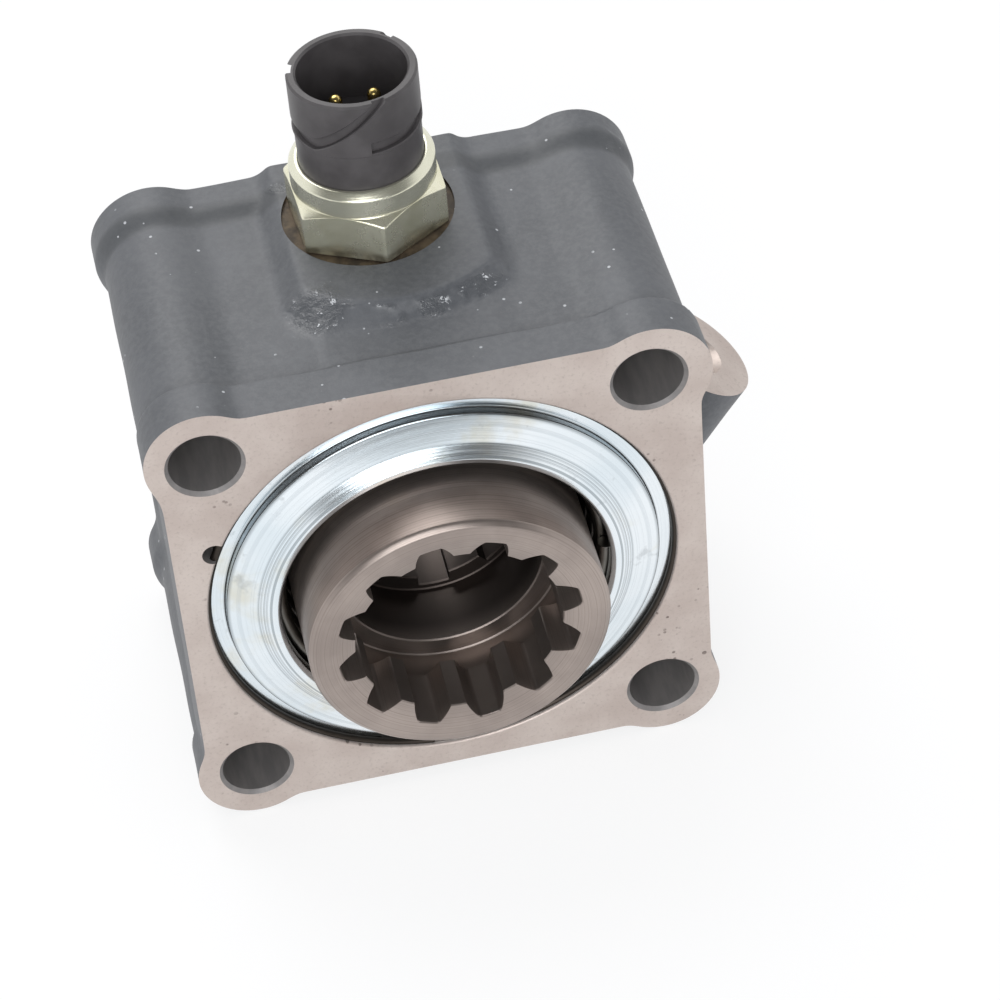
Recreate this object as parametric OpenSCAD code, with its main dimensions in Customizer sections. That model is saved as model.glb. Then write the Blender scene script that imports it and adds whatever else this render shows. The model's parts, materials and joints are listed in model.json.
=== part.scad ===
// Rear-mounted power take off unit with an air-shifted coupling sleeve.
// X points right, Y runs into the unit from the gearbox face, Z points up.
// The origin is the centre of the gearbox face, on the shaft axis.

/* [Housing] */
// Distance between neighbouring bolt holes, both ways
bolt_pitch = 80; // [78:0.5:82]
// Diameter of the four through holes for the bolts
bolt_hole_d = 13; // [11:0.5:14]
// Width of the chamfer at the mouth of each bolt hole
bolt_chamfer = 0.45; // [0.3:0.05:0.5]
// Depth of the housing from the gearbox face to the pump face
housing_depth = 65; // [62:0.5:72]
// Half width of the gearbox flange between its corner lobes
flange_half = 49.4; // [48.9:0.1:50.5]
// Radius of the corner lobes of the gearbox flange
flange_lobe_r = 11.8; // [11:0.1:13]
// Thickness of the gearbox flange
flange_t = 8.6; // [7:0.2:11]
// Half width of the pump flange between its corner lobes
rear_half = 48.9; // [48.7:0.1:50]
// Radius of the corner lobes of the pump flange
rear_lobe_r = 11.8; // [11:0.1:13]
// Thickness of the pump flange
rear_t = 10; // [8:0.5:12]
// Half width of the body between the two flanges
body_half = 48.3; // [47.8:0.1:48.6]
// Radius of the body's corner columns round the bolt holes
column_r = 10.3; // [9.6:0.1:10.8]
// Length of the cast slope between a flange and the body
slope_len = 2.2; // [1:0.2:3.5]
// Radius of the hollow where a lobe runs into a straight side
hollow_r = 8; // [5:0.5:12]

/* [Cylinder] */
// Diameter of the bore that the piston runs in
bore_d = 88; // [87:0.1:89]
// Width of the chamfer at the mouth of the bore
bore_chamfer = 0.6; // [0.3:0.05:0.65]
// Thickness of the wall that closes the air chamber
wall_t = 4.5; // [3.5:0.25:6]
// Diameter of the recess that centres the pump
pilot_d = 80; // [76:0.5:81]
// Depth of the recess that centres the pump
pilot_depth = 8.5; // [6:0.25:9]
// Gap between the sleeve and the hub tube round it
hub_gap = 3; // [2.5:0.25:3.5]
// Wall of the hub tube that the piston slides on
hub_wall = 3; // [2.5:0.25:3.5]
// Length of the hub tube in front of the chamber wall
hub_len = 14.4; // [13.5:0.1:14.8]
// Diameter of the small hole in the edge of the bore
vent_d = 4.5; // [3:0.25:5]
// Angle of that hole round the shaft axis, from +X towards +Z
vent_angle = 156; // [120:1:170]
// Depth of that hole
vent_depth = 5; // [3:0.5:8]

/* [Air port] */
// Angle of the port's axis above the horizontal
port_angle = 55; // [45:1:60]
// Distance of the port's axis from the shaft axis
port_offset = 40.7; // [39:0.1:42]
// Distance of the port's face from the foot of that perpendicular
port_reach = 41.2; // [39:0.2:44]
// Distance of the port's axis in front of the pump face
port_from_rear = 27; // [25:0.5:28]
// Diameter of the port's boss
port_boss_d = 25.6; // [22:0.2:27]
// Bore of the port's thread
port_thread_d = 10.7; // [8.5:0.1:12]
// Length of the port's thread
port_thread_len = 14; // [10:0.5:16]
// Diameter of the countersink at the port's mouth
port_sink_d = 13.4; // [12.5:0.1:15]
// Diameter of the drilling from the port into the air chamber
port_drill_d = 5; // [3:0.25:6]
// Distance of the drilling's inner end from the foot of that perpendicular
port_drill_from = 10; // [6:0.5:14]

/* [Switch pad] */
// Sideways place of the switch from the shaft axis
switch_x = -1; // [-4:0.5:4]
// Height of the pad above the body
pad_rise = 3.2; // [2.2:0.1:4]
// Radius of the pad's top round the switch
pad_top_r = 25; // [23:0.5:26]
// How far the pad's cast sides lean out on their way down
pad_lean = 6.5; // [4:0.25:8]
// Half width of the pad's top
pad_half = 17.6; // [16.5:0.1:19]
// How far the pad's two long sides lean out on their way down
pad_side_lean = 2.9; // [1.5:0.1:4]
// Diameter of the machined seat for the switch
seat_d = 32; // [30:0.5:33]
// Depth of the machined seat in the pad
seat_depth = 0.8; // [0.4:0.1:1.2]

/* [Spring retainer] */
// Diameter of the wire of the retainer's snap ring
wire_ring_d = 1.6; // [1.4:0.05:1.6]
// Distance of that wire's centre behind the gearbox face
wire_ring_y = 1.6; // [1.55:0.05:1.75]
// Half the opening angle between the snap ring's ends
wire_ring_gap = 7; // [3:1:20]
// Distance of the retainer's rim behind the gearbox face
rim_y = 2.2; // [2.05:0.05:2.3]
// Thickness of the retainer's rim
rim_t = 2.9; // [2:0.1:3.5]
// Width of the step between the bore and the retainer's raised disc
disc_step = 3.3; // [3:0.1:4.5]
// Distance of the disc's outer edge behind the gearbox face
disc_y = 0.3; // [0:0.1:1]
// Width of the disc from its outer edge in to the crease before its lip
disc_w = 5.5; // [4.5:0.1:6.5]
// Height of that crease in front of the gearbox face
crease_rise = 1.3; // [0.8:0.1:2]
// Height of the inner lip in front of the gearbox face
lip_rise = 2.7; // [2:0.1:3.5]
// Gap between the sleeve and the retainer's hole
lip_gap = 2.9; // [2.2:0.1:3.2]
// Distance of the spring's seat behind the gearbox face
spring_seat_y = 0.5; // [0.2:0.1:1.5]

/* [Return spring] */
// Wire diameter of the return spring
spring_wire_d = 3; // [2.4:0.1:3.2]
// Gap between the sleeve and the return spring round it
spring_gap = 1.2; // [1:0.1:1.5]
// Number of turns between the two closed ends
spring_turns = 3; // [2:0.25:3.5]

/* [Piston] */
// Stroke of the piston towards the gearbox
stroke = 9; // [6:0.5:9.5]
// Gap between the piston and the chamber wall at rest
rest_gap = 0.4; // [0.3:0.1:1]
// Length of the piston behind the bearing's shoulder
piston_tail = 15.1; // [14.6:0.1:15.4]
// Length of the sealed land that runs in the bore
land_len = 14; // [12.5:0.25:15]
// Radial relief of the piston behind the sealed land
piston_relief = 2; // [1.5:0.1:3]
// Length of the ramp under the switch plunger
ramp_len = 5.6; // [5:0.1:6.5]
// Drop of the ramp over its length
ramp_drop = 2.5; // [1.8:0.1:3]
// Diameter of the outer seal's section
outer_seal_d = 4; // [3:0.25:4.5]
// Diameter of the inner seal's section
inner_seal_d = 3; // [2:0.25:3]
// Metal behind the inner seal's groove at the piston's end
inner_seal_edge = 0.8; // [0.5:0.1:1]

/* [Bearing] */
// Step from the sleeve's outside down to the seat of the ball bearing
bearing_step = 0.5; // [0.3:0.1:0.8]
// Radial height of the ball bearing, from its bore to its outside
bearing_section = 8.5; // [8.3:0.1:8.8]
// Width of the ball bearing
bearing_w = 9; // [8:0.25:10]
// Radial thickness of each race
race_t = 2.4; // [2.2:0.1:2.6]
// Diameter of the balls
ball_d = 5; // [4.6:0.1:5.4]
// Number of balls
balls = 22; // [16:1:24]
// Thickness of the plate between the spring and the bearing
plate_t = 1.5; // [1:0.1:2]
// Thickness of the ring that holds the bearing in the piston
inner_ring_t = 1.75; // [1.25:0.05:2]
// Thickness of the ring that holds the bearing on the sleeve
sleeve_ring_t = 2; // [1.5:0.1:2]
// How deep both of these rings sit in their grooves
ring_depth = 1.5; // [1:0.1:1.8]
// Metal of the piston in front of the ring that holds its bearing
ring_cover = 2.2; // [1.8:0.1:2.6]
// Opening angle of the ring that holds the bearing in the piston
inner_ring_gap = 30; // [15:1:40]
// Opening angle of the ring that holds the bearing on the sleeve
sleeve_ring_gap = 24; // [15:1:40]

/* [Coupling sleeve] */
// Outer diameter of the coupling sleeve
sleeve_d = 56; // [55.8:0.1:56.4]
// Length of the sleeve in front of the bearing
sleeve_nose = 42; // [38:0.5:44]
// Length of the sleeve behind the bearing's front face
sleeve_tail = 26.5; // [25:0.5:30]
// Diameter of the sleeve behind its bearing
sleeve_tail_d = 50; // [48:0.5:52]
// Width of the chamfer round the sleeve's nose
nose_chamfer = 1; // [0.5:0.1:1.5]
// Number of teeth of the drive spline
spline_teeth = 12; // [12:1:12]
// Module of the drive spline
spline_module = 3.5; // [3.4:0.05:3.6]
// Diameter across the tips of the drive spline
spline_tip_d = 38.5; // [38.2:0.1:39.5]
// Diameter across the roots of the drive spline
spline_root_d = 45.5; // [44.5:0.1:46]
// Half angle of a tooth space on the pitch circle
spline_space = 8.2; // [7.5:0.1:8.5]
// Length of the drive spline
spline_len = 13; // [10:0.5:15]
// Angle of the first tooth space from +X towards +Z
spline_turn = 10; // [0:1:29]
// Diameter of the lead-in cone at the sleeve's mouth
lead_in_d = 48.4; // [47:0.1:49.5]
// Depth of the lead-in cone at the tooth tips
lead_in_depth = 1.35; // [0.8:0.05:2]
// Length of the relief groove behind the drive spline
relief_len = 5.6; // [4:0.2:7]
// Diameter of the relief groove behind the drive spline
relief_d = 46; // [45.8:0.1:47.5]
// Number of teeth of the pump spline
pump_teeth = 8; // [8:1:8]
// Inner diameter of the pump spline
pump_minor_d = 32; // [31:0.5:33]
// Outer diameter of the pump spline
pump_major_d = 36; // [35:0.5:37]
// Width of a tooth space of the pump spline
pump_space_w = 6; // [5:0.25:7]
// Length of the pump spline from the sleeve's rear end
pump_spline_len = 36; // [30:1:40]

/* [Switch] */
// Distance of the switch in front of the piston's rear end at rest
switch_lap = 4.3; // [4:0.1:4.8]
// Width of the switch's hexagon across its flats
hex_w = 27; // [25:0.5:28]
// Turn of the hexagon about the switch's axis
hex_turn = -26.8; // [-30:0.1:30]
// Height of the hexagon
hex_h = 8.5; // [7:0.25:10]
// Radius of the round top of the hexagon and of the collar
collar_r = 13.4; // [12.8:0.1:13.4]
// Height of the collar's straight part
collar_h = 3.8; // [3:0.1:5]
// Height of the collar's rolled edge
collar_roll = 1.2; // [0.8:0.1:1.6]
// Diameter of the switch's thread
thread_d = 18; // [16:0.5:20]
// Length of the switch's thread below its washer
thread_len = 6.3; // [5.5:0.1:6.5]
// Thickness of the sealing washer
washer_t = 1; // [0.8:0.1:1.5]
// Outer diameter of the sealing washer
washer_d = 25; // [22:0.5:26]
// Diameter of the plunger
plunger_d = 5; // [4:0.25:6]
// Diameter of the plunger's head
plunger_head_d = 9; // [8:0.25:10]
// How far the plunger drops over the piston's stroke
plunger_drop = 1.8; // [1.2:0.1:2]
// Diameter of the chamber inside the switch
chamber_d = 12.4; // [11.5:0.2:13]

/* [Connector] */
// Outer diameter of the plug connector
plug_d = 23.6; // [22.6:0.1:24]
// Diameter of the connector's neck above the collar
neck_d = 23; // [22:0.1:23.4]
// Height of the neck above the collar's edge
neck_h = 7.2; // [6:0.2:8]
// Height of the connector above its neck
plug_h = 11.4; // [10:0.2:13]
// Bore of the connector's mouth
mouth_d = 20; // [18.5:0.1:20.2]
// Depth of the connector's mouth
mouth_depth = 14; // [12:0.25:15]
// Depth of the bayonet grooves
groove_depth = 1; // [0.6:0.1:1.2]
// Width of the bayonet grooves
groove_w = 2.3; // [1.8:0.1:2.8]
// Number of bayonet grooves
groove_count = 3; // [2:1:3]
// Angle that a bayonet groove runs through
groove_sweep = 144; // [110:2:150]
// Share of that angle that stays level
groove_level = 0.45; // [0.3:0.05:0.6]
// Angle of the closed end of the first groove
groove_start = 153; // [0:1:359]
// Diameter of the contact pins
pin_d = 2.5; // [1.5:0.1:3]
// Distance between the contact pins
pin_pitch = 7; // [5:0.25:9]
// Height of the pins above the floor of the mouth
pin_h = 8.6; // [6:0.2:9]

/* [Clearances] */
// Running clearance of the piston and its seals
run_gap = 0.06; // [0.03:0.01:0.09]
// Clearance of seats that are pressed or clamped
seat_gap = 0.01; // [0.005:0.005:0.03]
// Clearance between pieces that pass each other
free_gap = 0.35; // [0.3:0.05:0.5]
// Clearance of the balls in their grooves
ball_gap = 0.12; // [0.08:0.01:0.2]

/* [Hidden] */
$fn = 72;
// Small overlap of a cut past the face that it opens
cut = 0.5;

bolt_c = bolt_pitch / 2;
bore_r = bore_d / 2;
sleeve_r = sleeve_d / 2;
hub_bore_r = sleeve_r + hub_gap;
hub_r = hub_bore_r + hub_wall;
disc_r = bore_r - disc_step;
crease_r = disc_r - disc_w;
retainer_hole_r = sleeve_r + lip_gap;
wire_ring_r = bore_r + 0.1;
spring_mean_r = sleeve_r + spring_gap + spring_wire_d / 2;
wall_y = housing_depth - pilot_depth - wall_t;
hub_y = wall_y - hub_len;
port_y = housing_depth - port_from_rear;

// The piston's stack from the chamber wall forward
piston_rear_y = wall_y - rest_gap;
shoulder_y = piston_rear_y - piston_tail;
bearing_y = shoulder_y - bearing_w;
plate_y = bearing_y - plate_t;
clip_y = plate_y - inner_ring_t;
piston_front_y = clip_y - ring_cover;
land_end_y = piston_front_y + land_len;
land_r = bore_r - run_gap;
relief_r = land_r - piston_relief;
piston_bore_r = hub_r + run_gap;
inner_race_r = sleeve_r - bearing_step;
race_seat_r = inner_race_r + bearing_section;
outer_seal_y = land_end_y - outer_seal_d;
outer_groove_w = outer_seal_d + 0.6;
inner_groove_w = inner_seal_d + 0.6;
inner_seal_y = piston_rear_y - inner_seal_edge - inner_groove_w / 2;
ramp_y = piston_rear_y - ramp_len;
ramp_angle = atan(ramp_drop / ramp_len);

// The bearing
pitch_r = (inner_race_r + race_seat_r) / 2;
ball_r = ball_d / 2;
cage_t = 1.4;
cage_w = bearing_w - 2.4;

// The sleeve
nose_y = bearing_y - sleeve_nose;
tail_y = bearing_y + sleeve_tail;
sleeve_clip_y = shoulder_y;
pitch_circle_r = spline_module * spline_teeth / 2;
base_r = pitch_circle_r * cos(30);

// The switch
switch_y = piston_rear_y - switch_lap;
pad_z = body_half + pad_rise;
seat_z = pad_z - seat_depth;
hex_z = seat_z + washer_t;
collar_z = hex_z + hex_h;
roll_z = collar_z + collar_h;
roll_top_z = roll_z + collar_roll;
roll_r = collar_r - 1.2;
thread_z = hex_z - washer_t - thread_len;
plunger_r = plunger_d / 2;
// Height of the ramp under the plunger, and the plunger's round tip above it
tip_z = relief_r - (switch_y - ramp_y) * tan(ramp_angle) + (plunger_r + 0.3) / cos(ramp_angle);
plunger_head_z = thread_z + 3.6 + plunger_drop + free_gap;
plunger_head_t = 2;
plug_floor_z = collar_z;
switch_spring_r = plunger_r + 0.8;
neck_z = roll_top_z + neck_h;
mouth_z = neck_z + plug_h;

// Turns a drawing of [radius, y] points about the shaft axis
module turned(points) {
    rotate([-90, 0, 0])
        rotate_extrude()
            polygon(points);
}

// Stands an outline between two places along Y, with its y as Z
module along_y(y0, y1) {
    translate([0, y1, 0])
        rotate([90, 0, 0])
            linear_extrude(y1 - y0)
                children();
}

// A cylinder or cone on the shaft axis between two places along Y
module y_cone(y0, y1, r0, r1) {
    translate([0, y0, 0])
        rotate([-90, 0, 0])
            cylinder(h = y1 - y0, r1 = r0, r2 = r1);
}

// Mirrors its children into the four corners of the XY drawing
module four_corners() {
    for (i = [0, 1])
        for (j = [0, 1])
            mirror([i, 0])
                mirror([0, j])
                    children();
}

// Puts its children on each bolt's axis
module at_bolts() {
    for (x = [-bolt_c, bolt_c])
        for (z = [-bolt_c, bolt_c])
            translate([x, 0, z])
                children();
}

// One hollow between a straight side and the lobe of the same corner, sunk a hair into both
module hollow(half, lobe) {
    reach = hollow_r - 0.05;
    side = half + reach;
    down = bolt_c - sqrt(pow(lobe + reach, 2) - pow(side - bolt_c, 2));
    difference() {
        polygon([[bolt_c, bolt_c], [half - 1, down], [side, down]]);
        translate([side, down])
            circle(r = hollow_r);
    }
}

// A square outline with a round lobe at each bolt
module lobed_outline(half, lobe) {
    square([2 * half, bolt_pitch], center = true);
    square([bolt_pitch, 2 * half], center = true);
    four_corners() {
        translate([bolt_c, bolt_c])
            circle(r = lobe);
        hollow(half, lobe);
        mirror([1, -1])
            hollow(half, lobe);
    }
}

// The cast slope from a flange's outline at y0 down to the body's outline at y1
module cast_slope(y0, y1, half, lobe) {
    low = min(y0, y1);
    high = max(y0, y1);
    at_bolts()
        y_cone(low, high, y0 < y1 ? lobe : column_r, y0 < y1 ? column_r : lobe);
    for (turn = [0, 90])
        rotate([0, turn, 0])
            translate([0, 0, -bolt_c])
                linear_extrude(bolt_pitch)
                    polygon([[-half, y0], [half, y0], [body_half, y1], [-body_half, y1]]);
}

// A cylinder on the port's axis between two places along it
module port_cylinder(s0, s1, r0, r1) {
    translate([0, port_y, 0])
        rotate([0, -port_angle, 0])
            translate([s0, 0, -port_offset])
                rotate([0, 90, 0])
                    cylinder(h = s1 - s0, r1 = r0, r2 = r1);
}

// The raised pad that carries the switch
module switch_pad() {
    lean = pad_lean * (pad_rise + 2) / pad_rise;
    side = pad_side_lean * (pad_rise + 2) / pad_rise;
    intersection() {
        union() {
            translate([switch_x, switch_y, body_half - 2])
                cylinder(h = pad_rise + 2, r1 = pad_top_r + lean, r2 = pad_top_r);
            translate([-bolt_c, switch_y, body_half - 2])
                cube([bolt_pitch, housing_depth - switch_y, pad_rise + 2]);
        }
        translate([0, housing_depth, body_half - 2])
            rotate([90, 0, 0])
                linear_extrude(housing_depth)
                    polygon([
                        [-pad_half - side, 0],
                        [pad_half + side, 0],
                        [pad_half, pad_rise + 2],
                        [-pad_half, pad_rise + 2]
                    ]);
    }
}

// The raw casting before it is machined
module casting() {
    along_y(0, flange_t)
        lobed_outline(flange_half, flange_lobe_r);
    cast_slope(flange_t, flange_t + slope_len, flange_half, flange_lobe_r);
    along_y(flange_t, housing_depth - rear_t)
        lobed_outline(body_half, column_r);
    cast_slope(housing_depth - rear_t, housing_depth - rear_t - slope_len, rear_half, rear_lobe_r);
    along_y(housing_depth - rear_t, housing_depth)
        lobed_outline(rear_half, rear_lobe_r);
    switch_pad();
    port_cylinder(4, port_reach, port_boss_d / 2, port_boss_d / 2);
}

// The space of the piston's bore with its hub left standing
module piston_space() {
    difference() {
        y_cone(-cut, wall_y, bore_r, bore_r);
        y_cone(hub_y, wall_y + cut, hub_r, hub_r);
    }
    y_cone(-cut, bore_chamfer, bore_r + bore_chamfer + cut, bore_r);
    // Round groove for the wire snap ring
    rotate([-90, 0, 0])
        rotate_extrude()
            translate([wire_ring_r, wire_ring_y])
                circle(d = wire_ring_d + 2 * run_gap);
}

module housing() {
    color([0.35, 0.36, 0.38])
        difference() {
            casting();
            piston_space();
            y_cone(hub_y - cut, housing_depth, hub_bore_r, hub_bore_r);
            y_cone(wall_y + wall_t, housing_depth + cut, pilot_d / 2, pilot_d / 2);
            y_cone(housing_depth - bore_chamfer, housing_depth + cut,
                pilot_d / 2, pilot_d / 2 + bore_chamfer + cut);
            at_bolts() {
                y_cone(-cut, housing_depth + cut, bolt_hole_d / 2, bolt_hole_d / 2);
                y_cone(-cut, bolt_chamfer, bolt_hole_d / 2 + bolt_chamfer + cut, bolt_hole_d / 2);
                y_cone(housing_depth - bolt_chamfer, housing_depth + cut,
                    bolt_hole_d / 2, bolt_hole_d / 2 + bolt_chamfer + cut);
            }
            // Small hole in the edge of the bore
            rotate([0, -vent_angle, 0])
                translate([bore_r + 0.9, 0, 0])
                    y_cone(-cut, vent_depth, vent_d / 2, vent_d / 2);
            // Threaded hole and seat of the switch
            translate([switch_x, switch_y, seat_z]) {
                cylinder(h = pad_rise, d = seat_d);
                translate([0, 0, -thread_len - 2])
                    cylinder(h = thread_len + 3, d = thread_d);
            }
            // Air port: thread, countersink and drilling
            port_cylinder(port_reach - port_thread_len, port_reach + cut, port_thread_d / 2, port_thread_d / 2);
            port_cylinder(port_reach - (port_sink_d - port_thread_d) / 2, port_reach,
                port_thread_d / 2, port_sink_d / 2);
            port_cylinder(port_drill_from, port_reach - port_thread_len + cut,
                port_drill_d / 2, port_drill_d / 2);
        }
}

module retainer_snap_ring() {
    color([0.16, 0.15, 0.15])
        rotate([-90, 90 + wire_ring_gap, 0])
            rotate_extrude(angle = 360 - 2 * wire_ring_gap)
                translate([wire_ring_r, wire_ring_y])
                    circle(d = wire_ring_d);
}

// The rim's bevel lies against the wire ring, a hair behind it
module spring_retainer() {
    bevel = wire_ring_y - wire_ring_r + (wire_ring_d / 2 + run_gap) * sqrt(2);
    rim_r = bore_r - free_gap;
    rim_end = rim_y + rim_t;
    color([0.80, 0.84, 0.86])
        turned([
            [retainer_hole_r + 0.7, -lip_rise],
            [retainer_hole_r + 1.6, -lip_rise],
            [crease_r, -crease_rise],
            [disc_r, disc_y],
            [disc_r, rim_y],
            [rim_y - bevel, rim_y],
            [rim_r, rim_r + bevel],
            [rim_r, rim_end + 1],
            [disc_r - 1.2, rim_end + 1],
            [disc_r - 2.4, disc_y + 2.6],
            [spring_mean_r + spring_wire_d, spring_seat_y],
            [retainer_hole_r, spring_seat_y],
            [retainer_hole_r, -lip_rise + 0.9]
        ]);
}

// Place along a coil of wire, from 0 at one end to 1 at the other
function coil_rise(t, turns, wire, length) =
    let (n = t * (turns + 2), dead = wire * 1.04, live = (length - wire - 2 * dead) / turns)
    wire / 2 + dead * min(n, 1) + live * max(min(n - 1, turns), 0) + dead * max(n - 1 - turns, 0);

// Points of one ring of the wire at place t
function coil_ring(t, turns, wire, mean_r, length, sides) =
    let (a = 360 * (turns + 2) * t, h = coil_rise(t, turns, wire, length))
    [for (i = [0 : sides - 1])
        let (b = -360 * i / sides, r = mean_r + wire / 2 * cos(b))
        [r * cos(a), r * sin(a), h + wire / 2 * sin(b)]];

// A compression spring along +Z with closed ends
module coil(turns, wire, mean_r, length, steps, sides) {
    rings = ceil(steps * (turns + 2));
    points = [for (k = [0 : rings]) each coil_ring(k / rings, turns, wire, mean_r, length, sides)];
    walls = [for (k = [0 : rings - 1])
        for (i = [0 : sides - 1])
            let (j = (i + 1) % sides)
            [k * sides + j, k * sides + i, (k + 1) * sides + i, (k + 1) * sides + j]];
    first = [for (i = [0 : sides - 1]) i];
    last = [for (i = [sides - 1 : -1 : 0]) rings * sides + i];
    polyhedron(points, concat([first], walls, [last]));
}

module return_spring() {
    color([0.42, 0.42, 0.40])
        translate([0, spring_seat_y + seat_gap, 0])
            rotate([-90, 0, 0])
                coil(spring_turns, spring_wire_d, spring_mean_r,
                    plate_y - spring_seat_y - 2 * seat_gap, 28, 8);
}

module spring_plate() {
    color([0.55, 0.55, 0.53])
        turned([
            [sleeve_r + free_gap, plate_y],
            [race_seat_r - free_gap, plate_y],
            [race_seat_r - free_gap, bearing_y],
            [race_seat_r - race_t, bearing_y],
            [race_seat_r - race_t, bearing_y - free_gap],
            [sleeve_r + free_gap, bearing_y - free_gap]
        ]);
}

// A flat retaining ring with a gap in it, between two radii
module flat_clip(r0, r1, y, t, gap) {
    translate([0, y, 0])
        rotate([-90, 90 + gap / 2, 0])
            rotate_extrude(angle = 360 - gap)
                translate([r0, 0])
                    square([r1 - r0, t]);
}

module bearing_clip() {
    color([0.25, 0.25, 0.25])
        flat_clip(race_seat_r - race_t, race_seat_r + ring_depth - seat_gap, clip_y,
            inner_ring_t, inner_ring_gap);
}

module sleeve_clip() {
    color([0.25, 0.25, 0.25])
        flat_clip(inner_race_r - ring_depth + seat_gap, inner_race_r + race_t - 0.3,
            sleeve_clip_y + seat_gap, sleeve_ring_t, sleeve_ring_gap);
}

// Half angle of a tooth space of the drive spline at radius r, on its involute
function involute(a) = tan(a) * 180 / PI - a;
function space_half(r) = spline_space + involute(30) - involute(acos(base_r / r));

// The space between two teeth of the drive spline, drawn along +X
module tooth_space() {
    r0 = spline_tip_d / 2 - 0.4;
    r1 = spline_root_d / 2 + 0.3;
    radii = [for (k = [0 : 4]) max(r0 + (r1 - r0) * k / 4, base_r + 0.01)];
    upper = [for (r = radii) r * [cos(space_half(r)), sin(space_half(r))]];
    lower = [for (k = [4 : -1 : 0]) [upper[k][0], -upper[k][1]]];
    polygon(concat([[0, 0]], upper, [[r1 + 1, upper[4][1]], [r1 + 1, -upper[4][1]]], lower));
}

// Outline of the drive spline's opening
module drive_spline() {
    circle(d = spline_tip_d);
    intersection() {
        circle(d = spline_root_d);
        for (k = [0 : spline_teeth - 1])
            rotate(spline_turn + k * 360 / spline_teeth)
                tooth_space();
    }
}

// Outline of the pump spline's opening, with straight-sided spaces
module pump_spline() {
    circle(d = pump_minor_d);
    intersection() {
        circle(d = pump_major_d);
        for (k = [0 : pump_teeth / 2 - 1])
            rotate(k * 360 / pump_teeth)
                square([pump_major_d + 1, pump_space_w], center = true);
    }
}

module coupling_sleeve() {
    spline_end = nose_y + spline_len;
    relief_end = spline_end + relief_len;
    pump_y = tail_y - pump_spline_len;
    color([0.47, 0.43, 0.40])
        difference() {
            turned([
                [0, nose_y],
                [sleeve_r - nose_chamfer, nose_y],
                [sleeve_r, nose_y + nose_chamfer],
                [sleeve_r, bearing_y],
                [inner_race_r, bearing_y],
                [inner_race_r, sleeve_clip_y],
                [inner_race_r - ring_depth, sleeve_clip_y],
                [inner_race_r - ring_depth, sleeve_clip_y + sleeve_ring_t + 2 * seat_gap],
                [inner_race_r, sleeve_clip_y + sleeve_ring_t + 2 * seat_gap],
                [inner_race_r, sleeve_clip_y + sleeve_ring_t + 1.5],
                [sleeve_tail_d / 2, sleeve_clip_y + sleeve_ring_t + 1.5],
                [sleeve_tail_d / 2, tail_y - nose_chamfer],
                [sleeve_tail_d / 2 - nose_chamfer, tail_y],
                [0, tail_y]
            ]);
            along_y(nose_y - cut, spline_end + cut)
                drive_spline();
            y_cone(nose_y, nose_y + lead_in_depth, lead_in_d / 2, spline_tip_d / 2);
            y_cone(nose_y - cut, nose_y + 0.001, lead_in_d / 2, lead_in_d / 2);
            y_cone(spline_end, relief_end, relief_d / 2, relief_d / 2);
            y_cone(relief_end - cut, pump_y, spline_tip_d / 2, spline_tip_d / 2);
            along_y(pump_y - cut, tail_y + cut)
                pump_spline();
            y_cone(tail_y - nose_chamfer, tail_y + cut,
                pump_major_d / 2, pump_major_d / 2 + nose_chamfer + cut);
        }
}

module piston() {
    outer_floor = land_r - outer_seal_d + 0.4;
    inner_floor = piston_bore_r + inner_seal_d - 0.4;
    og = outer_groove_w / 2;
    ig = inner_groove_w / 2;
    color([0.68, 0.69, 0.70])
        turned([
            [race_seat_r, piston_front_y],
            [land_r - 0.8, piston_front_y],
            [land_r, piston_front_y + 0.8],
            [land_r, outer_seal_y - og],
            [outer_floor, outer_seal_y - og],
            [outer_floor, outer_seal_y + og],
            [land_r, outer_seal_y + og],
            [land_r, land_end_y],
            [relief_r, land_end_y],
            [relief_r, ramp_y],
            [relief_r - ramp_drop, piston_rear_y],
            [piston_bore_r, piston_rear_y],
            [piston_bore_r, inner_seal_y + ig],
            [inner_floor, inner_seal_y + ig],
            [inner_floor, inner_seal_y - ig],
            [piston_bore_r, inner_seal_y - ig],
            [piston_bore_r, shoulder_y],
            [race_seat_r, shoulder_y],
            [race_seat_r, clip_y + inner_ring_t],
            [race_seat_r + ring_depth, clip_y + inner_ring_t],
            [race_seat_r + ring_depth, clip_y - 2 * seat_gap],
            [race_seat_r, clip_y - 2 * seat_gap]
        ]);
}

// A rubber ring of round section about the shaft axis
module seal_ring(r, y, d) {
    color([0.10, 0.10, 0.10])
        rotate([-90, 0, 0])
            rotate_extrude()
                translate([r, y])
                    circle(d = d);
}

module piston_outer_seal() {
    seal_ring(bore_r - run_gap - (outer_seal_d - 0.45) / 2, outer_seal_y, outer_seal_d - 0.45);
}

module piston_inner_seal() {
    seal_ring(hub_r + run_gap + (inner_seal_d - 0.45) / 2, inner_seal_y, inner_seal_d - 0.45);
}

// One race of the bearing with its ball groove
module race(r0, r1) {
    color([0.75, 0.76, 0.77])
        difference() {
            turned([[r0, bearing_y], [r1, bearing_y], [r1, shoulder_y], [r0, shoulder_y]]);
            rotate([-90, 0, 0])
                rotate_extrude()
                    translate([pitch_r, bearing_y + bearing_w / 2])
                        circle(r = ball_r + ball_gap);
        }
}

module bearing_outer_race() {
    race(race_seat_r - race_t, race_seat_r - seat_gap);
}

module bearing_inner_race() {
    race(inner_race_r + seat_gap, inner_race_r + race_t);
}

// Puts its children at each ball's centre
module at_balls() {
    for (k = [0 : balls - 1])
        rotate([0, k * 360 / balls, 0])
            translate([pitch_r, bearing_y + bearing_w / 2, 0])
                children();
}

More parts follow.
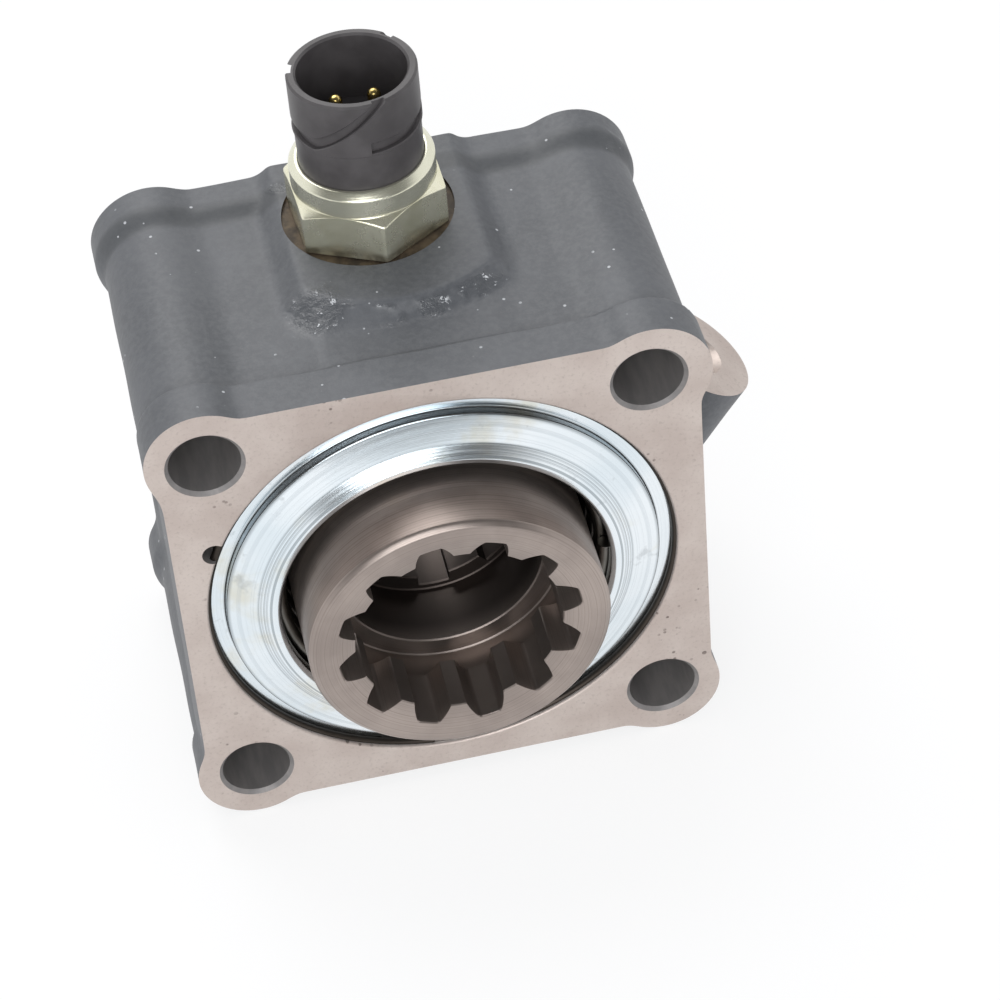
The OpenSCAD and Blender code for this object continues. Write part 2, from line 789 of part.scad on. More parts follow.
module bearing_cage() {
    color([0.72, 0.58, 0.30])
        difference() {
            translate([0, bearing_y + (bearing_w - cage_w) / 2, 0])
                rotate([-90, 0, 0])
                    difference() {
                        cylinder(h = cage_w, r = pitch_r + cage_t / 2);
                        translate([0, 0, -cut])
                            cylinder(h = cage_w + 2 * cut, r = pitch_r - cage_t / 2);
                    }
            at_balls()
                rotate([0, 90, 0])
                    cylinder(h = 2 * cage_t, r = ball_r + seat_gap, center = true);
        }
}

module bearing_balls() {
    color([0.82, 0.83, 0.84])
        at_balls()
            sphere(r = ball_r);
}

// Moves its children to the switch's axis
module at_switch() {
    translate([switch_x, switch_y, 0])
        children();
}

module switch_washer() {
    color([0.62, 0.42, 0.28])
        at_switch()
            translate([0, 0, seat_z])
                difference() {
                    cylinder(h = washer_t, d = washer_d);
                    translate([0, 0, -cut])
                        cylinder(h = washer_t + 2 * cut, d = thread_d + 2 * free_gap);
                }
}

// The hexagon with its corners turned off at 30 degrees on top
module hexagon() {
    corner_r = hex_w / 2 / cos(30);
    drop = (corner_r - collar_r) * tan(30);
    skirt = cut * tan(30);
    intersection() {
        rotate(hex_turn)
            cylinder(h = hex_h, r = corner_r, $fn = 6);
        union() {
            cylinder(h = hex_h - drop - skirt, r = corner_r + cut);
            translate([0, 0, hex_h - drop - skirt])
                cylinder(h = drop + skirt, r1 = corner_r + cut, r2 = collar_r);
        }
    }
}

module switch_body() {
    color([0.62, 0.61, 0.50])
        at_switch()
            difference() {
                union() {
                    translate([0, 0, thread_z])
                        cylinder(h = hex_z - thread_z, d = thread_d - 2 * run_gap);
                    translate([0, 0, hex_z])
                        hexagon();
                    rotate_extrude()
                        polygon([
                            [0, collar_z - 1],
                            [collar_r, collar_z - 1],
                            [collar_r, roll_z],
                            [roll_r, roll_top_z],
                            [0, roll_top_z]
                        ]);
                }
                translate([0, 0, thread_z - cut])
                    cylinder(h = 4, r = plunger_r + run_gap);
                translate([0, 0, thread_z + 3])
                    cylinder(h = plug_floor_z - thread_z, d = chamber_d);
                translate([0, 0, plug_floor_z])
                    cylinder(h = roll_top_z, d = neck_d + 2 * seat_gap);
            }
}

module switch_plunger() {
    color([0.70, 0.70, 0.68])
        at_switch() {
            translate([0, 0, tip_z])
                sphere(r = plunger_r);
            translate([0, 0, tip_z])
                cylinder(h = plunger_head_z - tip_z + plunger_head_t + 1.5, r = plunger_r);
            translate([0, 0, plunger_head_z])
                cylinder(h = plunger_head_t, d = plunger_head_d);
        }
}

module switch_spring() {
    low = plunger_head_z + plunger_head_t + seat_gap;
    color([0.60, 0.60, 0.58])
        at_switch()
            translate([0, 0, low])
                coil(3, 0.9, switch_spring_r, plug_floor_z - seat_gap - low, 16, 6);
}

// Height of a bayonet groove's middle at share t of its length
function groove_z(t) = neck_z + groove_w / 2 + 0.6
    + (t < groove_level ? 0 : (plug_h + 0.5) * pow((t - groove_level) / (1 - groove_level), 1.25));

// One bayonet groove as a swept block that cuts into the connector
module groove(start) {
    steps = 28;
    inner = plug_d / 2 - groove_depth;
    outer = plug_d / 2 + 1;
    half = groove_w / 2;
    points = [for (k = [0 : steps])
        let (a = start + groove_sweep * k / steps, z = groove_z(k / steps))
        each [for (p = [[inner, -half], [outer, -half], [outer, half], [inner, half]])
            [p[0] * cos(a), p[0] * sin(a), z + p[1]]]];
    walls = [for (k = [0 : steps - 1])
        for (i = [0 : 3])
            let (j = (i + 1) % 4)
            [4 * k + i, 4 * k + j, 4 * k + 4 + j, 4 * k + 4 + i]];
    polyhedron(points, concat([[3, 2, 1, 0]], walls, [[for (i = [0 : 3]) 4 * steps + i]]));
}

module switch_connector() {
    floor_z = mouth_z - mouth_depth;
    color([0.17, 0.16, 0.16])
        at_switch()
            difference() {
                rotate_extrude()
                    polygon([
                        [0, plug_floor_z],
                        [neck_d / 2, plug_floor_z],
                        [neck_d / 2, neck_z],
                        [plug_d / 2, neck_z + 0.3],
                        [plug_d / 2, mouth_z - 0.4],
                        [plug_d / 2 - 0.4, mouth_z],
                        [0, mouth_z]
                    ]);
                translate([0, 0, floor_z])
                    cylinder(h = mouth_depth + cut, d = mouth_d);
                for (k = [0 : groove_count - 1])
                    groove(groove_start + k * 360 / groove_count);
                // Clearance for the top of the plunger
                translate([0, 0, plug_floor_z - cut])
                    cylinder(h = 3, d = plunger_d + 2 * free_gap);
                for (x = [-pin_pitch / 2, pin_pitch / 2])
                    translate([x, 0, floor_z - 4])
                        cylinder(h = 5, d = pin_d + 2 * seat_gap);
            }
}

module switch_pins() {
    floor_z = mouth_z - mouth_depth;
    color([0.80, 0.72, 0.45])
        at_switch()
            for (x = [-pin_pitch / 2, pin_pitch / 2])
                translate([x, 0, floor_z - 4]) {
                    cylinder(h = 4 + pin_h - pin_d / 2, d = pin_d);
                    translate([0, 0, 4 + pin_h - pin_d / 2])
                        sphere(d = pin_d);
                }
}

housing();
retainer_snap_ring();
spring_retainer();
return_spring();
spring_plate();
bearing_clip();
coupling_sleeve();
sleeve_clip();
piston();
piston_outer_seal();
piston_inner_seal();
bearing_outer_race();
bearing_inner_race();
bearing_cage();
bearing_balls();
switch_washer();
switch_body();
switch_plunger();
switch_spring();
switch_connector();
switch_pins();
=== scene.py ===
# %% [markdown]
# # A rear-mounted power take off unit
# A truck gearbox drives a hydraulic pump through this small iron box. Air pushes a ring-shaped piston,
# the piston carries a splined sleeve forward onto the gearbox shaft, and a coil spring brings it back.
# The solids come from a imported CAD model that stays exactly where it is. This lesson gives them their
# cast, machined, plated and moulded surfaces.

# %% Load the frame
import json
import math

import bmesh
import bpy
import numpy as np
from mathutils import Matrix, Vector

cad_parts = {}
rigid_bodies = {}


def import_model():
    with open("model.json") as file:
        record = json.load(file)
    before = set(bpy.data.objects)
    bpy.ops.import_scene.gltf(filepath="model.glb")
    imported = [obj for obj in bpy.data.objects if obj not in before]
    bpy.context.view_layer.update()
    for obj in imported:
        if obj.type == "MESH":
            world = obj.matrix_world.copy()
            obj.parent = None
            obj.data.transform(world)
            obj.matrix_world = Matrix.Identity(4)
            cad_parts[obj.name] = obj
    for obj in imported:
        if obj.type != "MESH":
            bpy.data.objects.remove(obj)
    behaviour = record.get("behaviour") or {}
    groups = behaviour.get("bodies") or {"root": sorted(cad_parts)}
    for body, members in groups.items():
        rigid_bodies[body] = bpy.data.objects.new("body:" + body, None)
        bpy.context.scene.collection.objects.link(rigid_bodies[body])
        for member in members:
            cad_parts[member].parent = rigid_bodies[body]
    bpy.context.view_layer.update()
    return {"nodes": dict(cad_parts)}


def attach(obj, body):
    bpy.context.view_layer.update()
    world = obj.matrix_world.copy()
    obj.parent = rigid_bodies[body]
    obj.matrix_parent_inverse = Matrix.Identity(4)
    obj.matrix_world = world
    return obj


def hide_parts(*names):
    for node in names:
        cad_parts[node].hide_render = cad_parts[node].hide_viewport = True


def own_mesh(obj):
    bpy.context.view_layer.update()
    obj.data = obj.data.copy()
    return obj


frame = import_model()
print("nodes:", len(frame["nodes"]))

# %% [markdown]
# ## Camera first
# The photograph is a close three-quarter view from above, a little to the left and slightly rolled. Its lens
# is long, so parallel edges stay nearly parallel. The camera is placed before anything is modelled, because
# every judgement about size and light is made through it.

# %% Camera
MM = 0.001
CAMERA_PLACE = Vector((-55.7, -437.1, 446.9)) * MM
CAMERA_AIM = Vector((11.4, 0.0, 17.9)) * MM
CAMERA_ROLL = math.radians(-5.1)
SENSOR_WIDTH = 36.0
LENS = 122.6


def make_camera():
    data = bpy.data.cameras.new("view")
    data.sensor_width = SENSOR_WIDTH
    data.lens = LENS
    data.clip_start = 0.01
    camera = bpy.data.objects.new("view", data)
    bpy.context.scene.collection.objects.link(camera)
    look = (CAMERA_AIM - CAMERA_PLACE).to_track_quat("-Z", "Y").to_matrix()
    camera.matrix_world = Matrix.Translation(CAMERA_PLACE) @ (look @ Matrix.Rotation(CAMERA_ROLL, 3, "Z")).to_4x4()
    bpy.context.scene.camera = camera
    return camera


camera = make_camera()
bpy.context.scene.view_settings.view_transform = "Standard"
print("camera looks along", [round(c, 3) for c in (CAMERA_AIM - CAMERA_PLACE).normalized()])

# %% [markdown]
# ## A small kit for materials
# Every finish below is a node tree. Most of them are the same few ideas in other proportions: a base colour
# that drifts slowly, spots that break it up, and a bump that catches the light. Every pattern reads Object
# coordinates. The frame is in metres, so a scale of 1000 means one pattern cell to a millimetre.

# %% Material kit
class Finish:
    """One material's node tree, with the nodes that the finishes below share."""

    def __init__(self, name, rough=0.5, metal=0.0, **sockets):
        self.material = bpy.data.materials.new(name)
        self.material.use_nodes = True
        self.tree = self.material.node_tree
        self.shader = self.tree.nodes["Principled BSDF"]
        self.shader.inputs["Roughness"].default_value = rough
        self.shader.inputs["Metallic"].default_value = metal
        for socket, value in sockets.items():
            self.shader.inputs[socket.replace("_", " ")].default_value = value
        self.place = self.node("ShaderNodeTexCoord").outputs["Object"]

    def node(self, kind, settings=None, **inputs):
        made = self.tree.nodes.new(kind)
        for key, value in (settings or {}).items():
            setattr(made, key, value)
        for key, value in inputs.items():
            self.put(made.inputs[key.replace("_", " ")], value)
        return made

    def put(self, socket, value):
        if isinstance(value, bpy.types.NodeSocket):
            self.tree.links.new(value, socket)
        else:
            socket.default_value = value

    def math(self, operation, a, b=0.0, c=0.0):
        made = self.tree.nodes.new("ShaderNodeMath")
        made.operation = operation
        for socket, value in zip(made.inputs, (a, b, c)):
            self.put(socket, value)
        return made.outputs[0]

    def noise(self, scale, detail=3.0, rough=0.5, where=None, squeeze=None):
        """A smooth noise from 0 to 1. squeeze stretches it, so that (1, 0.02, 1) runs along Y."""
        place = where or self.place
        if squeeze:
            place = self.node("ShaderNodeMapping", Vector=place, Scale=squeeze).outputs[0]
        made = self.node("ShaderNodeTexNoise", Vector=place, Scale=scale, Detail=detail, Roughness=rough)
        return made.outputs["Fac"]

    def spots(self, scale, size, soft=0.05, random=1.0):
        """1 inside scattered round spots and 0 between them."""
        cells = self.node("ShaderNodeTexVoronoi", Vector=self.place, Scale=scale, Randomness=random)
        return self.band(cells.outputs["Distance"], size + soft, size)

    def band(self, value, low, high):
        """Ramps value from 0 at low to 1 at high, either way round."""
        made = self.node("ShaderNodeMapRange", {"interpolation_type": "SMOOTHSTEP"}, Value=value)
        ends = (low, high, 0.0, 1.0) if low < high else (high, low, 1.0, 0.0)
        for socket, end in zip(made.inputs[1:5], ends):
            socket.default_value = end
        return made.outputs[0]

    def mix(self, amount, a, b):
        made = self.tree.nodes.new("ShaderNodeMix")
        made.data_type = "RGBA"
        self.put(made.inputs[0], amount)
        self.put(made.inputs[6], (*a, 1.0) if isinstance(a, tuple) else a)
        self.put(made.inputs[7], (*b, 1.0) if isinstance(b, tuple) else b)
        return made.outputs[2]

    def colour(self, value):
        self.put(self.shader.inputs["Base Color"], (*value, 1.0) if isinstance(value, tuple) else value)

    def rough(self, value):
        self.put(self.shader.inputs["Roughness"], value)

    def bump(self, *layers):
        """Stacks bumps, each a height and its depth in millimetres."""
        normal = None
        for height, depth in layers:
            made = self.node("ShaderNodeBump", Strength=1.0, Distance=depth * MM, Height=height)
            if normal is not None:
                self.tree.links.new(normal, made.inputs["Normal"])
            normal = made.outputs[0]
        self.tree.links.new(normal, self.shader.inputs["Normal"])

    def radius(self, axis="Y", centre=(0.0, 0.0)):
        """Distance from a turning axis, in millimetres. Lathe marks follow it."""
        split = self.node("ShaderNodeSeparateXYZ", Vector=self.place).outputs
        first, second = (split["X"], split["Z"]) if axis == "Y" else (split["X"], split["Y"])
        u = self.math("SUBTRACT", first, centre[0] * MM)
        v = self.math("SUBTRACT", second, centre[1] * MM)
        return self.math("MULTIPLY", self.math("SQRT", self.math("ADD", self.math("MULTIPLY", u, u),
                         self.math("MULTIPLY", v, v))), 1 / MM)

    def along(self, axis):
        """Place along one axis, in millimetres."""
        split = self.node("ShaderNodeSeparateXYZ", Vector=self.place).outputs
        return self.math("MULTIPLY", split[axis], 1 / MM)

    def rings(self, value, per_mm, detail=2.0):
        """Fine uneven lines wherever value is the same, as a turning tool leaves them."""
        made = self.node("ShaderNodeTexNoise", {"noise_dimensions": "1D"}, W=value, Scale=per_mm, Detail=detail)
        return made.outputs["Fac"]


def srgb(red, green, blue):
    """A colour given as it looks on a screen, 0 to 255, in the linear numbers that the shader wants."""
    return tuple(((c / 255 + 0.055) / 1.055) ** 2.4 if c > 10 else c / 255 / 12.92 for c in (red, green, blue))


print("material kit ready")

# %% [markdown]
# ## Iron: paint, machined faces and drilled holes
# The housing is one casting. It was painted a dark grey blue before its faces were cut, so paint and bare
# iron meet in crisp lines. Paint over sand casting is never flat: it has a fine orange skin, dust specks and
# slow waves. Bare cast iron is a warm light grey with small open pits.

# %% Iron finishes
def paint_finish():
    f = Finish("cast_paint", rough=0.5)
    y, z = f.along("Y"), f.along("Z")
    drift, skin = f.noise(45, 4, 0.6), f.noise(820, 4, 0.7)
    base = f.mix(f.band(drift, 0.35, 0.7), srgb(77, 79, 83), srgb(88, 90, 94))
    base = f.mix(f.math("MULTIPLY", f.band(skin, 0.35, 0.68), 0.5), base, srgb(98, 100, 103))
    # Sand burnt on at the pad's front corner and along its foot, and in the rear flange's hollow, which is also
    # painted darker as painted shade. The crust's whitish glints are painted highlights.
    corner = f.band(f.radius("Z", (-15.0, 23.5)), 7.0, 3.0)
    around = f.radius("Z", (1.2, 46.0))
    foot = f.math("MULTIPLY", f.band(around, 25.2, 26.0), f.band(around, 29.6, 27.8))
    foot = f.math("MULTIPLY", foot, f.band(y, 30.0, 26.0))
    foot = f.math("MULTIPLY", foot, f.band(f.noise(150, 2), 0.42, 0.56))
    hollow = f.math("MULTIPLY", f.band(y, 53.8, 55.5), f.band(y, 60.5, 58.5))
    # The rear flange's hollow is painted darker near the top: painted shade in the fillet.
    base = f.mix(f.math("MULTIPLY", f.math("MULTIPLY", hollow, f.band(z, 40.0, 46.0)), 0.55), base, srgb(62, 64, 66))
    hollow = f.math("MULTIPLY", hollow, f.band(f.noise(75, 2), 0.52, 0.6))
    rough = f.math("MAXIMUM", f.math("MAXIMUM", corner, foot), hollow)
    rough = f.math("MULTIPLY", rough, f.band(z, 46.0, 47.5))
    crust = f.noise(520, 4, 0.75)
    # Whitish glints on the rough crust are painted highlights.
    painted_glints = f.math("MULTIPLY", rough, f.band(crust, 0.6, 0.66))
    specks = f.math("MULTIPLY", f.spots(300, 0.075, 0.03), f.band(f.noise(130, 1), 0.5, 0.56))
    base = f.mix(f.math("MULTIPLY", specks, 0.8), base, srgb(196, 198, 202))
    base = f.mix(f.math("MULTIPLY", rough, 0.4), base, srgb(70, 72, 75))
    f.colour(f.mix(painted_glints, base, srgb(205, 207, 210)))
    plain = f.math("ADD", f.math("MULTIPLY", drift, 0.12), 0.44)
    f.rough(f.math("SUBTRACT", plain, f.math("MULTIPLY", rough, 0.28)))
    f.bump((f.noise(260, 3, 0.55), 0.09), (skin, 0.05), (specks, 0.05), (f.math("MULTIPLY", crust, rough), 0.4))
    return f.material


def machined_finish():
    f = Finish("machined_iron", metal=0.75)
    cloud = f.noise(60, 4, 0.65)
    grain = f.noise(1400, 3, 0.7)
    base = f.mix(f.band(cloud, 0.3, 0.7), srgb(186, 173, 166), srgb(202, 191, 184))
    base = f.mix(f.math("MULTIPLY", f.band(grain, 0.5, 0.75), 0.35), base, srgb(140, 128, 121))
    where = f.band(f.noise(85, 2, 0.5), 0.57, 0.7)
    pits = f.math("MULTIPLY", f.spots(620, 0.16, 0.08), where)
    big = f.math("MULTIPLY", f.spots(260, 0.10, 0.04), f.band(f.noise(70, 1), 0.55, 0.65))
    holes = f.math("MAXIMUM", pits, big)
    f.colour(f.mix(f.math("MULTIPLY", holes, 0.75), base, srgb(78, 66, 60)))
    f.rough(f.math("ADD", f.math("MULTIPLY", cloud, 0.2), 0.36))
    f.bump((grain, 0.02), (f.math("SUBTRACT", 1.0, holes), 0.06))
    return f.material


def drilled_finish():
    f = Finish("drilled_iron", rough=0.5, metal=0.4)
    streak = f.noise(500, 4, 0.6, squeeze=(1, 0.2, 1))
    f.colour(f.mix(f.band(streak, 0.35, 0.7), srgb(128, 125, 124), srgb(140, 136, 134)))
    f.bump((streak, 0.015))
    return f.material


def seat_finish():
    f = Finish("rusty_seat", rough=0.6, metal=0.3)
    cloud = f.noise(240, 4, 0.6)
    f.colour(f.mix(f.band(cloud, 0.35, 0.65), srgb(58, 50, 42), srgb(104, 90, 72)))
    f.bump((cloud, 0.05))
    return f.material


PAINT = paint_finish()
MACHINED = machined_finish()
DRILLED = drilled_finish()
SEAT = seat_finish()
print("iron finishes:", PAINT.name, MACHINED.name, DRILLED.name, SEAT.name)

# %% [markdown]
# ## The raw casting as a blended field
# A casting has no sharp inner corners, because sand can't hold them. That could be beveled edge by edge, but
# soft joints between a box, round columns, a sloped pad and a tilted boss are hard to bevel. A distance field
# does it in one line: each form says how far a point is from its skin, and a smooth minimum melts two forms
# together with a fillet of a chosen size. The sizes repeat the CAD model's, in millimetres.

# %% Casting sizes
BOLT_C = 40.0
DEPTH = 65.0
FLANGE_T = 9.1
BODY_HALF, COLUMN_R = 48.3, 10.3
SWITCH_X, SWITCH_Y = -1.0, 47.3
PAD_Z, PAD_RISE = 51.5, 3.2
PORT_ANGLE, PORT_OFFSET, PORT_REACH, PORT_Y = math.radians(55), 40.7, 41.2, 38.0
PORT_BOSS_R = 12.8
OVERCUT = 2.0
# The lobes round the bolts, left top, left bottom, right bottom, right top: centre and radius.
FRONT_LOBES = ((-40.0, 41.0, 10.7), (-40.2, -40.6, 11.1), (40.1, -40.5, 11.2), (40.4, 40.3, 11.3))
REAR_LOBES = ((-40, 40, 11.7), (-40, -40, 11.7), (40, -40, 11.7), (40, 40, 11.7))
BODY_LOBES = tuple((cx, cz, COLUMN_R) for cx, cz, _ in REAR_LOBES)
port_axis = np.array([math.cos(PORT_ANGLE), 0.0, math.sin(PORT_ANGLE)])
port_side = np.array([math.sin(PORT_ANGLE), 0.0, -math.cos(PORT_ANGLE)])
port_foot = port_side * PORT_OFFSET + np.array([0.0, PORT_Y, 0.0])
print("port faces", [round(c, 1) for c in port_foot + port_axis * PORT_REACH], "mm")


# %% Field kit
def blend_min(a, b, k):
    """The nearer of two skins, melted together over k."""
    h = np.maximum(k - np.abs(a - b), 0.0)
    return np.minimum(a, b) - h * h / (4 * k)


def blend_max(a, b, k):
    """The overlap of two forms, with its edge rounded over k."""
    return -blend_min(-a, -b, k)


def step_up(value, low, high):
    """0 below low, 1 above high and an S between them."""
    t = np.clip((value - low) / (high - low), 0.0, 1.0)
    return t * t * (3 - 2 * t)


def rectangle(x, z, x0, x1, z0, z1):
    dx, dz = np.maximum(x0 - x, x - x1), np.maximum(z0 - z, z - z1)
    return np.hypot(np.maximum(dx, 0), np.maximum(dz, 0)) + np.minimum(np.maximum(dx, dz), 0)


def outline(x, z, sides, lobes, melt):
    """A square with a round lobe at each bolt. sides are its left, right, bottom and top."""
    left, right, bottom, top = sides
    form = np.minimum(rectangle(x, z, left, right, -BOLT_C, BOLT_C), rectangle(x, z, -BOLT_C, BOLT_C, bottom, top))
    round_ones = np.minimum.reduce([np.hypot(x - cx, z - cz) - r for cx, cz, r in lobes])
    return blend_min(form, round_ones, melt)


def slab(form, y, y0, y1, edge):
    """An outline stood between two places along Y, with its edges rounded."""
    return blend_max(form, np.abs(y - (y0 + y1) / 2) - (y1 - y0) / 2, edge)


def pad_front(x):
    """Where the pad's front begins at its top and ends at its foot: places along Y."""
    top = 46.0 - np.sqrt(np.maximum(25.0 ** 2 - (x - 1.2) ** 2, 30.0))
    foot = np.maximum(18.2 + 0.04 * x, 17.8 - 1.45 * (x + 14.9)) + 0.022 * np.maximum(x - 6, 0) ** 2
    return top, foot


def switch_pad(x, y, z):
    lower = np.clip((PAD_Z - z) / PAD_RISE, -0.5, 1.6)
    top, foot = pad_front(x)
    front = (top + (foot - top) * lower - y) / np.hypot(1, (top - foot) / PAD_RISE)
    left = (-16.6 - 4.2 * lower - x) / math.hypot(1, 4.2 / PAD_RISE)
    right = (x - 18.1 - 3.7 * lower) / math.hypot(1, 3.7 / PAD_RISE)
    form = blend_max(blend_max(front, left, 0.6), right, 1.0)
    root = np.maximum(BODY_HALF - 2.3 - z, y - DEPTH - OVERCUT - 1)
    return np.maximum(blend_max(form, z - PAD_Z, 0.5), root)


def casting_field(p):
    """Signed distance from the casting's skin, negative inside. p holds points in millimetres."""
    x, y, z = p[..., 0], p[..., 1], p[..., 2]
    lean = np.clip(z / 30, -1, 1)
    body = outline(x, z, (-BODY_HALF, BODY_HALF, -BODY_HALF, BODY_HALF), BODY_LOBES, 3.0)
    rear = outline(x, z, (-49.2, 49.3, -49.3, 49.6), REAR_LOBES, 1.2)
    front = outline(x, z, (-48.8 + 0.3 * lean - 0.06 * y, 49.55 - 0.2 * lean, -49.4, 49.4), FRONT_LOBES, 1.0)
    platform = step_up(x, -17.0, -14.8) * step_up(x, 20.0, 15.5) * step_up(y, 7.5, 9.5) * (z > 40)
    long = body + step_up(y, 54.6, 59.2) * (rear - body) - 0.3 * platform
    solid = blend_min(slab(long, y, -OVERCUT, DEPTH + OVERCUT + 1, 0.5),
                      slab(front, y, -OVERCUT - 1, FLANGE_T, 0.45), 1.0)
    solid = blend_min(solid, switch_pad(x, y, z), 1.0)
    q = p - port_foot
    along = q @ port_axis
    across = np.linalg.norm(q - along[..., None] * port_axis, axis=-1)
    boss = np.maximum(across - PORT_BOSS_R, np.abs(along - (4 + PORT_REACH) / 2 - 1) - (PORT_REACH - 2) / 2)
    solid = blend_min(solid, boss, 3.0)
    wave = np.sin(x * 0.31 + 1.0) * np.sin(y * 0.27) * np.sin(z * 0.24 + 2.0)
    chill = np.exp(-((x + 17.5) ** 2 + (y - 25.0) ** 2) / 26) * (z > 45)
    ripple = np.sin(x * 2.3 + 1.3 * np.sin(y * 1.9)) * np.sin(y * 2.9 + x)
    return solid + 0.07 * wave + 0.14 * chill * ripple


# %% [markdown]
# The field becomes a mesh by a surface net: each grid cell that the skin passes through gets one corner
# point, and each grid edge that it crosses gets one four-sided face. Then every point slides down the
# field's slope until it lies on the skin, which removes the steps of the grid. The grid is finer where small
# steps and edges are, and coarser where the skin is plain.

# %% Surface net
def grid_axis(start, *spans):
    """Grid places along one axis. Each span is its end and its step."""
    places = [start]
    for end, step in spans:
        count = max(int(round((end - places[-1]) / step)), 1)
        places += list(np.linspace(places[-1], end, count + 1)[1:])
    return np.array(places)


def surface_net(field, axes):
    """Points and quads on the zero level of a field, from a grid on three axes."""
    values = field(np.stack(np.meshgrid(*axes, indexing="ij"), -1))
    shape = tuple(n - 1 for n in values.shape)
    total, count = np.zeros(shape + (3,)), np.zeros(shape)
    for axis in range(3):
        near = np.moveaxis(values, axis, 0)
        a, b = near[:-1], near[1:]
        crossed = (a < 0) != (b < 0)
        part = np.where(crossed, a / np.where(crossed, a - b, 1.0), 0.0)
        crossed, part = np.moveaxis(crossed, 0, axis), np.moveaxis(part, 0, axis)
        others = [k for k in range(3) if k != axis]
        for i in (0, 1):
            for j in (0, 1):
                pick = [slice(None)] * 3
                pick[others[0]] = slice(i, shape[others[0]] + i)
                pick[others[1]] = slice(j, shape[others[1]] + j)
                c, t = crossed[tuple(pick)], part[tuple(pick)]
                spot = np.zeros(shape + (3,))
                spot[..., axis], spot[..., others[0]], spot[..., others[1]] = t, i, j
                total += spot * c[..., None]
                count += c
    live = count > 0
    index = np.full(shape, -1)
    index[live] = np.arange(live.sum())
    cell, part = np.argwhere(live), total[live] / count[live][:, None]
    points = np.stack([axes[k][cell[:, k]] + part[:, k] * np.diff(axes[k])[cell[:, k]] for k in range(3)], -1)
    quads = []
    for axis in range(3):
        near = np.moveaxis(values, axis, 0)
        crossed = np.moveaxis((near[:-1] < 0) != (near[1:] < 0), 0, axis)
        leaving = np.moveaxis(near[:-1] < 0, 0, axis)
        u, v = [k for k in range(3) if k != axis]
        pick = [slice(None)] * 3
        pick[u], pick[v] = slice(1, -1), slice(1, -1)
        cells = np.argwhere(crossed[tuple(pick)])
        cells[:, u] += 1
        cells[:, v] += 1
        flip = leaving[tuple(cells.T)] ^ (axis == 1)
        corner = []
        for du, dv in ((0, 0), (1, 0), (1, 1), (0, 1)):
            c = cells.copy()
            c[:, u] -= du
            c[:, v] -= dv
            corner.append(index[tuple(c.T)])
        corner = np.stack(corner, 1)
        quads.append(np.where(flip[:, None], corner, corner[:, ::-1]))
    return points, np.vstack(quads)


def settle(points, field, rounds=3, tiny=0.02):
    """Slides each point onto the field's skin."""
    for _ in range(rounds):
        value = field(points)
        slope = np.stack([field(points + tiny * np.eye(3)[k]) - value for k in range(3)], -1) / tiny
        points = points - value[:, None] * slope / np.maximum((slope ** 2).sum(-1, keepdims=True), 0.25)
    return points


# %% Mesh kit
def mesh_object(name, points, faces, materials, sharp=38.0):
    """An object from points in millimetres, with smooth shading and crisp edges past an angle."""
    mesh = bpy.data.meshes.new(name)
    mesh.from_pydata((np.asarray(points, float) * MM).tolist(), [], [list(map(int, f)) for f in faces])
    for material in materials if isinstance(materials, (list, tuple)) else [materials]:
        mesh.materials.append(material)
    made = bpy.data.objects.new(name, mesh)
    bpy.context.scene.collection.objects.link(made)
    tidy_normals(made)
    crisp(made, sharp)
    return made


def tidy_normals(obj):
    """Merges doubled points and turns every face outwards."""
    shape = bmesh.new()
    shape.from_mesh(obj.data)
    bmesh.ops.remove_doubles(shape, verts=shape.verts, dist=1e-7)
    bmesh.ops.recalc_face_normals(shape, faces=shape.faces)
    shape.to_mesh(obj.data)
    shape.free()


def crisp(obj, angle):
    obj.data.shade_smooth()
    obj.data.set_sharp_from_angle(angle=math.radians(angle))


def rounded(profile, radius, steps=3, closed=True):
    """Rounds the corners of a drawing of points, each by at most a third of its shorter side."""
    points = [np.array(p, float) for p in profile]
    result = []
    for i, here in enumerate(points):
        if not closed and i in (0, len(points) - 1):
            result.append(here)
            continue
        before, after = points[i - 1], points[(i + 1) % len(points)]
        a, b = before - here, after - here
        la, lb = np.linalg.norm(a), np.linalg.norm(b)
        turn = math.acos(np.clip(a @ b / (la * lb), -1, 1))
        cut = min(radius / math.tan(turn / 2), la / 3, lb / 3)
        start, end = here + a / la * cut, here + b / lb * cut
        for k in range(steps + 1):
            t = k / steps
            result.append((1 - t) ** 2 * start + 2 * t * (1 - t) * here + t * t * end)
    return result


def ring_faces(columns, rows):
    """Quads of a grid that closes on itself both ways."""
    faces = []
    for c in range(columns):
        n = (c + 1) % columns
        for r in range(rows):
            s = (r + 1) % rows
            faces.append((c * rows + r, n * rows + r, n * rows + s, c * rows + s))
    return faces


def turned(name, profile, materials, axis="Y", centre=(0.0, 0.0), segments=160, sharp=38.0):
    """A closed ring turned from a closed drawing of [radius, height] points."""
    profile = np.array(profile)
    angles = np.linspace(0, 2 * math.pi, segments, endpoint=False)
    return swept_ring(name, [profile] * segments, angles, materials, axis, centre, sharp)


def swept_ring(name, paths, angles, materials, axis="Y", centre=(0.0, 0.0), sharp=38.0):
    """A closed ring whose drawing may differ from one angle to the next."""
    points = []
    for path, a in zip(paths, angles):
        path = np.array(path)
        u, v, h = path[:, 0] * math.cos(a) + centre[0], path[:, 0] * math.sin(a) + centre[1], path[:, 1]
        points.append(np.stack([u, h, v], 1) if axis == "Y" else np.stack([u, v, h], 1))
    return mesh_object(name, np.vstack(points), ring_faces(len(paths), len(paths[0])), materials, sharp)


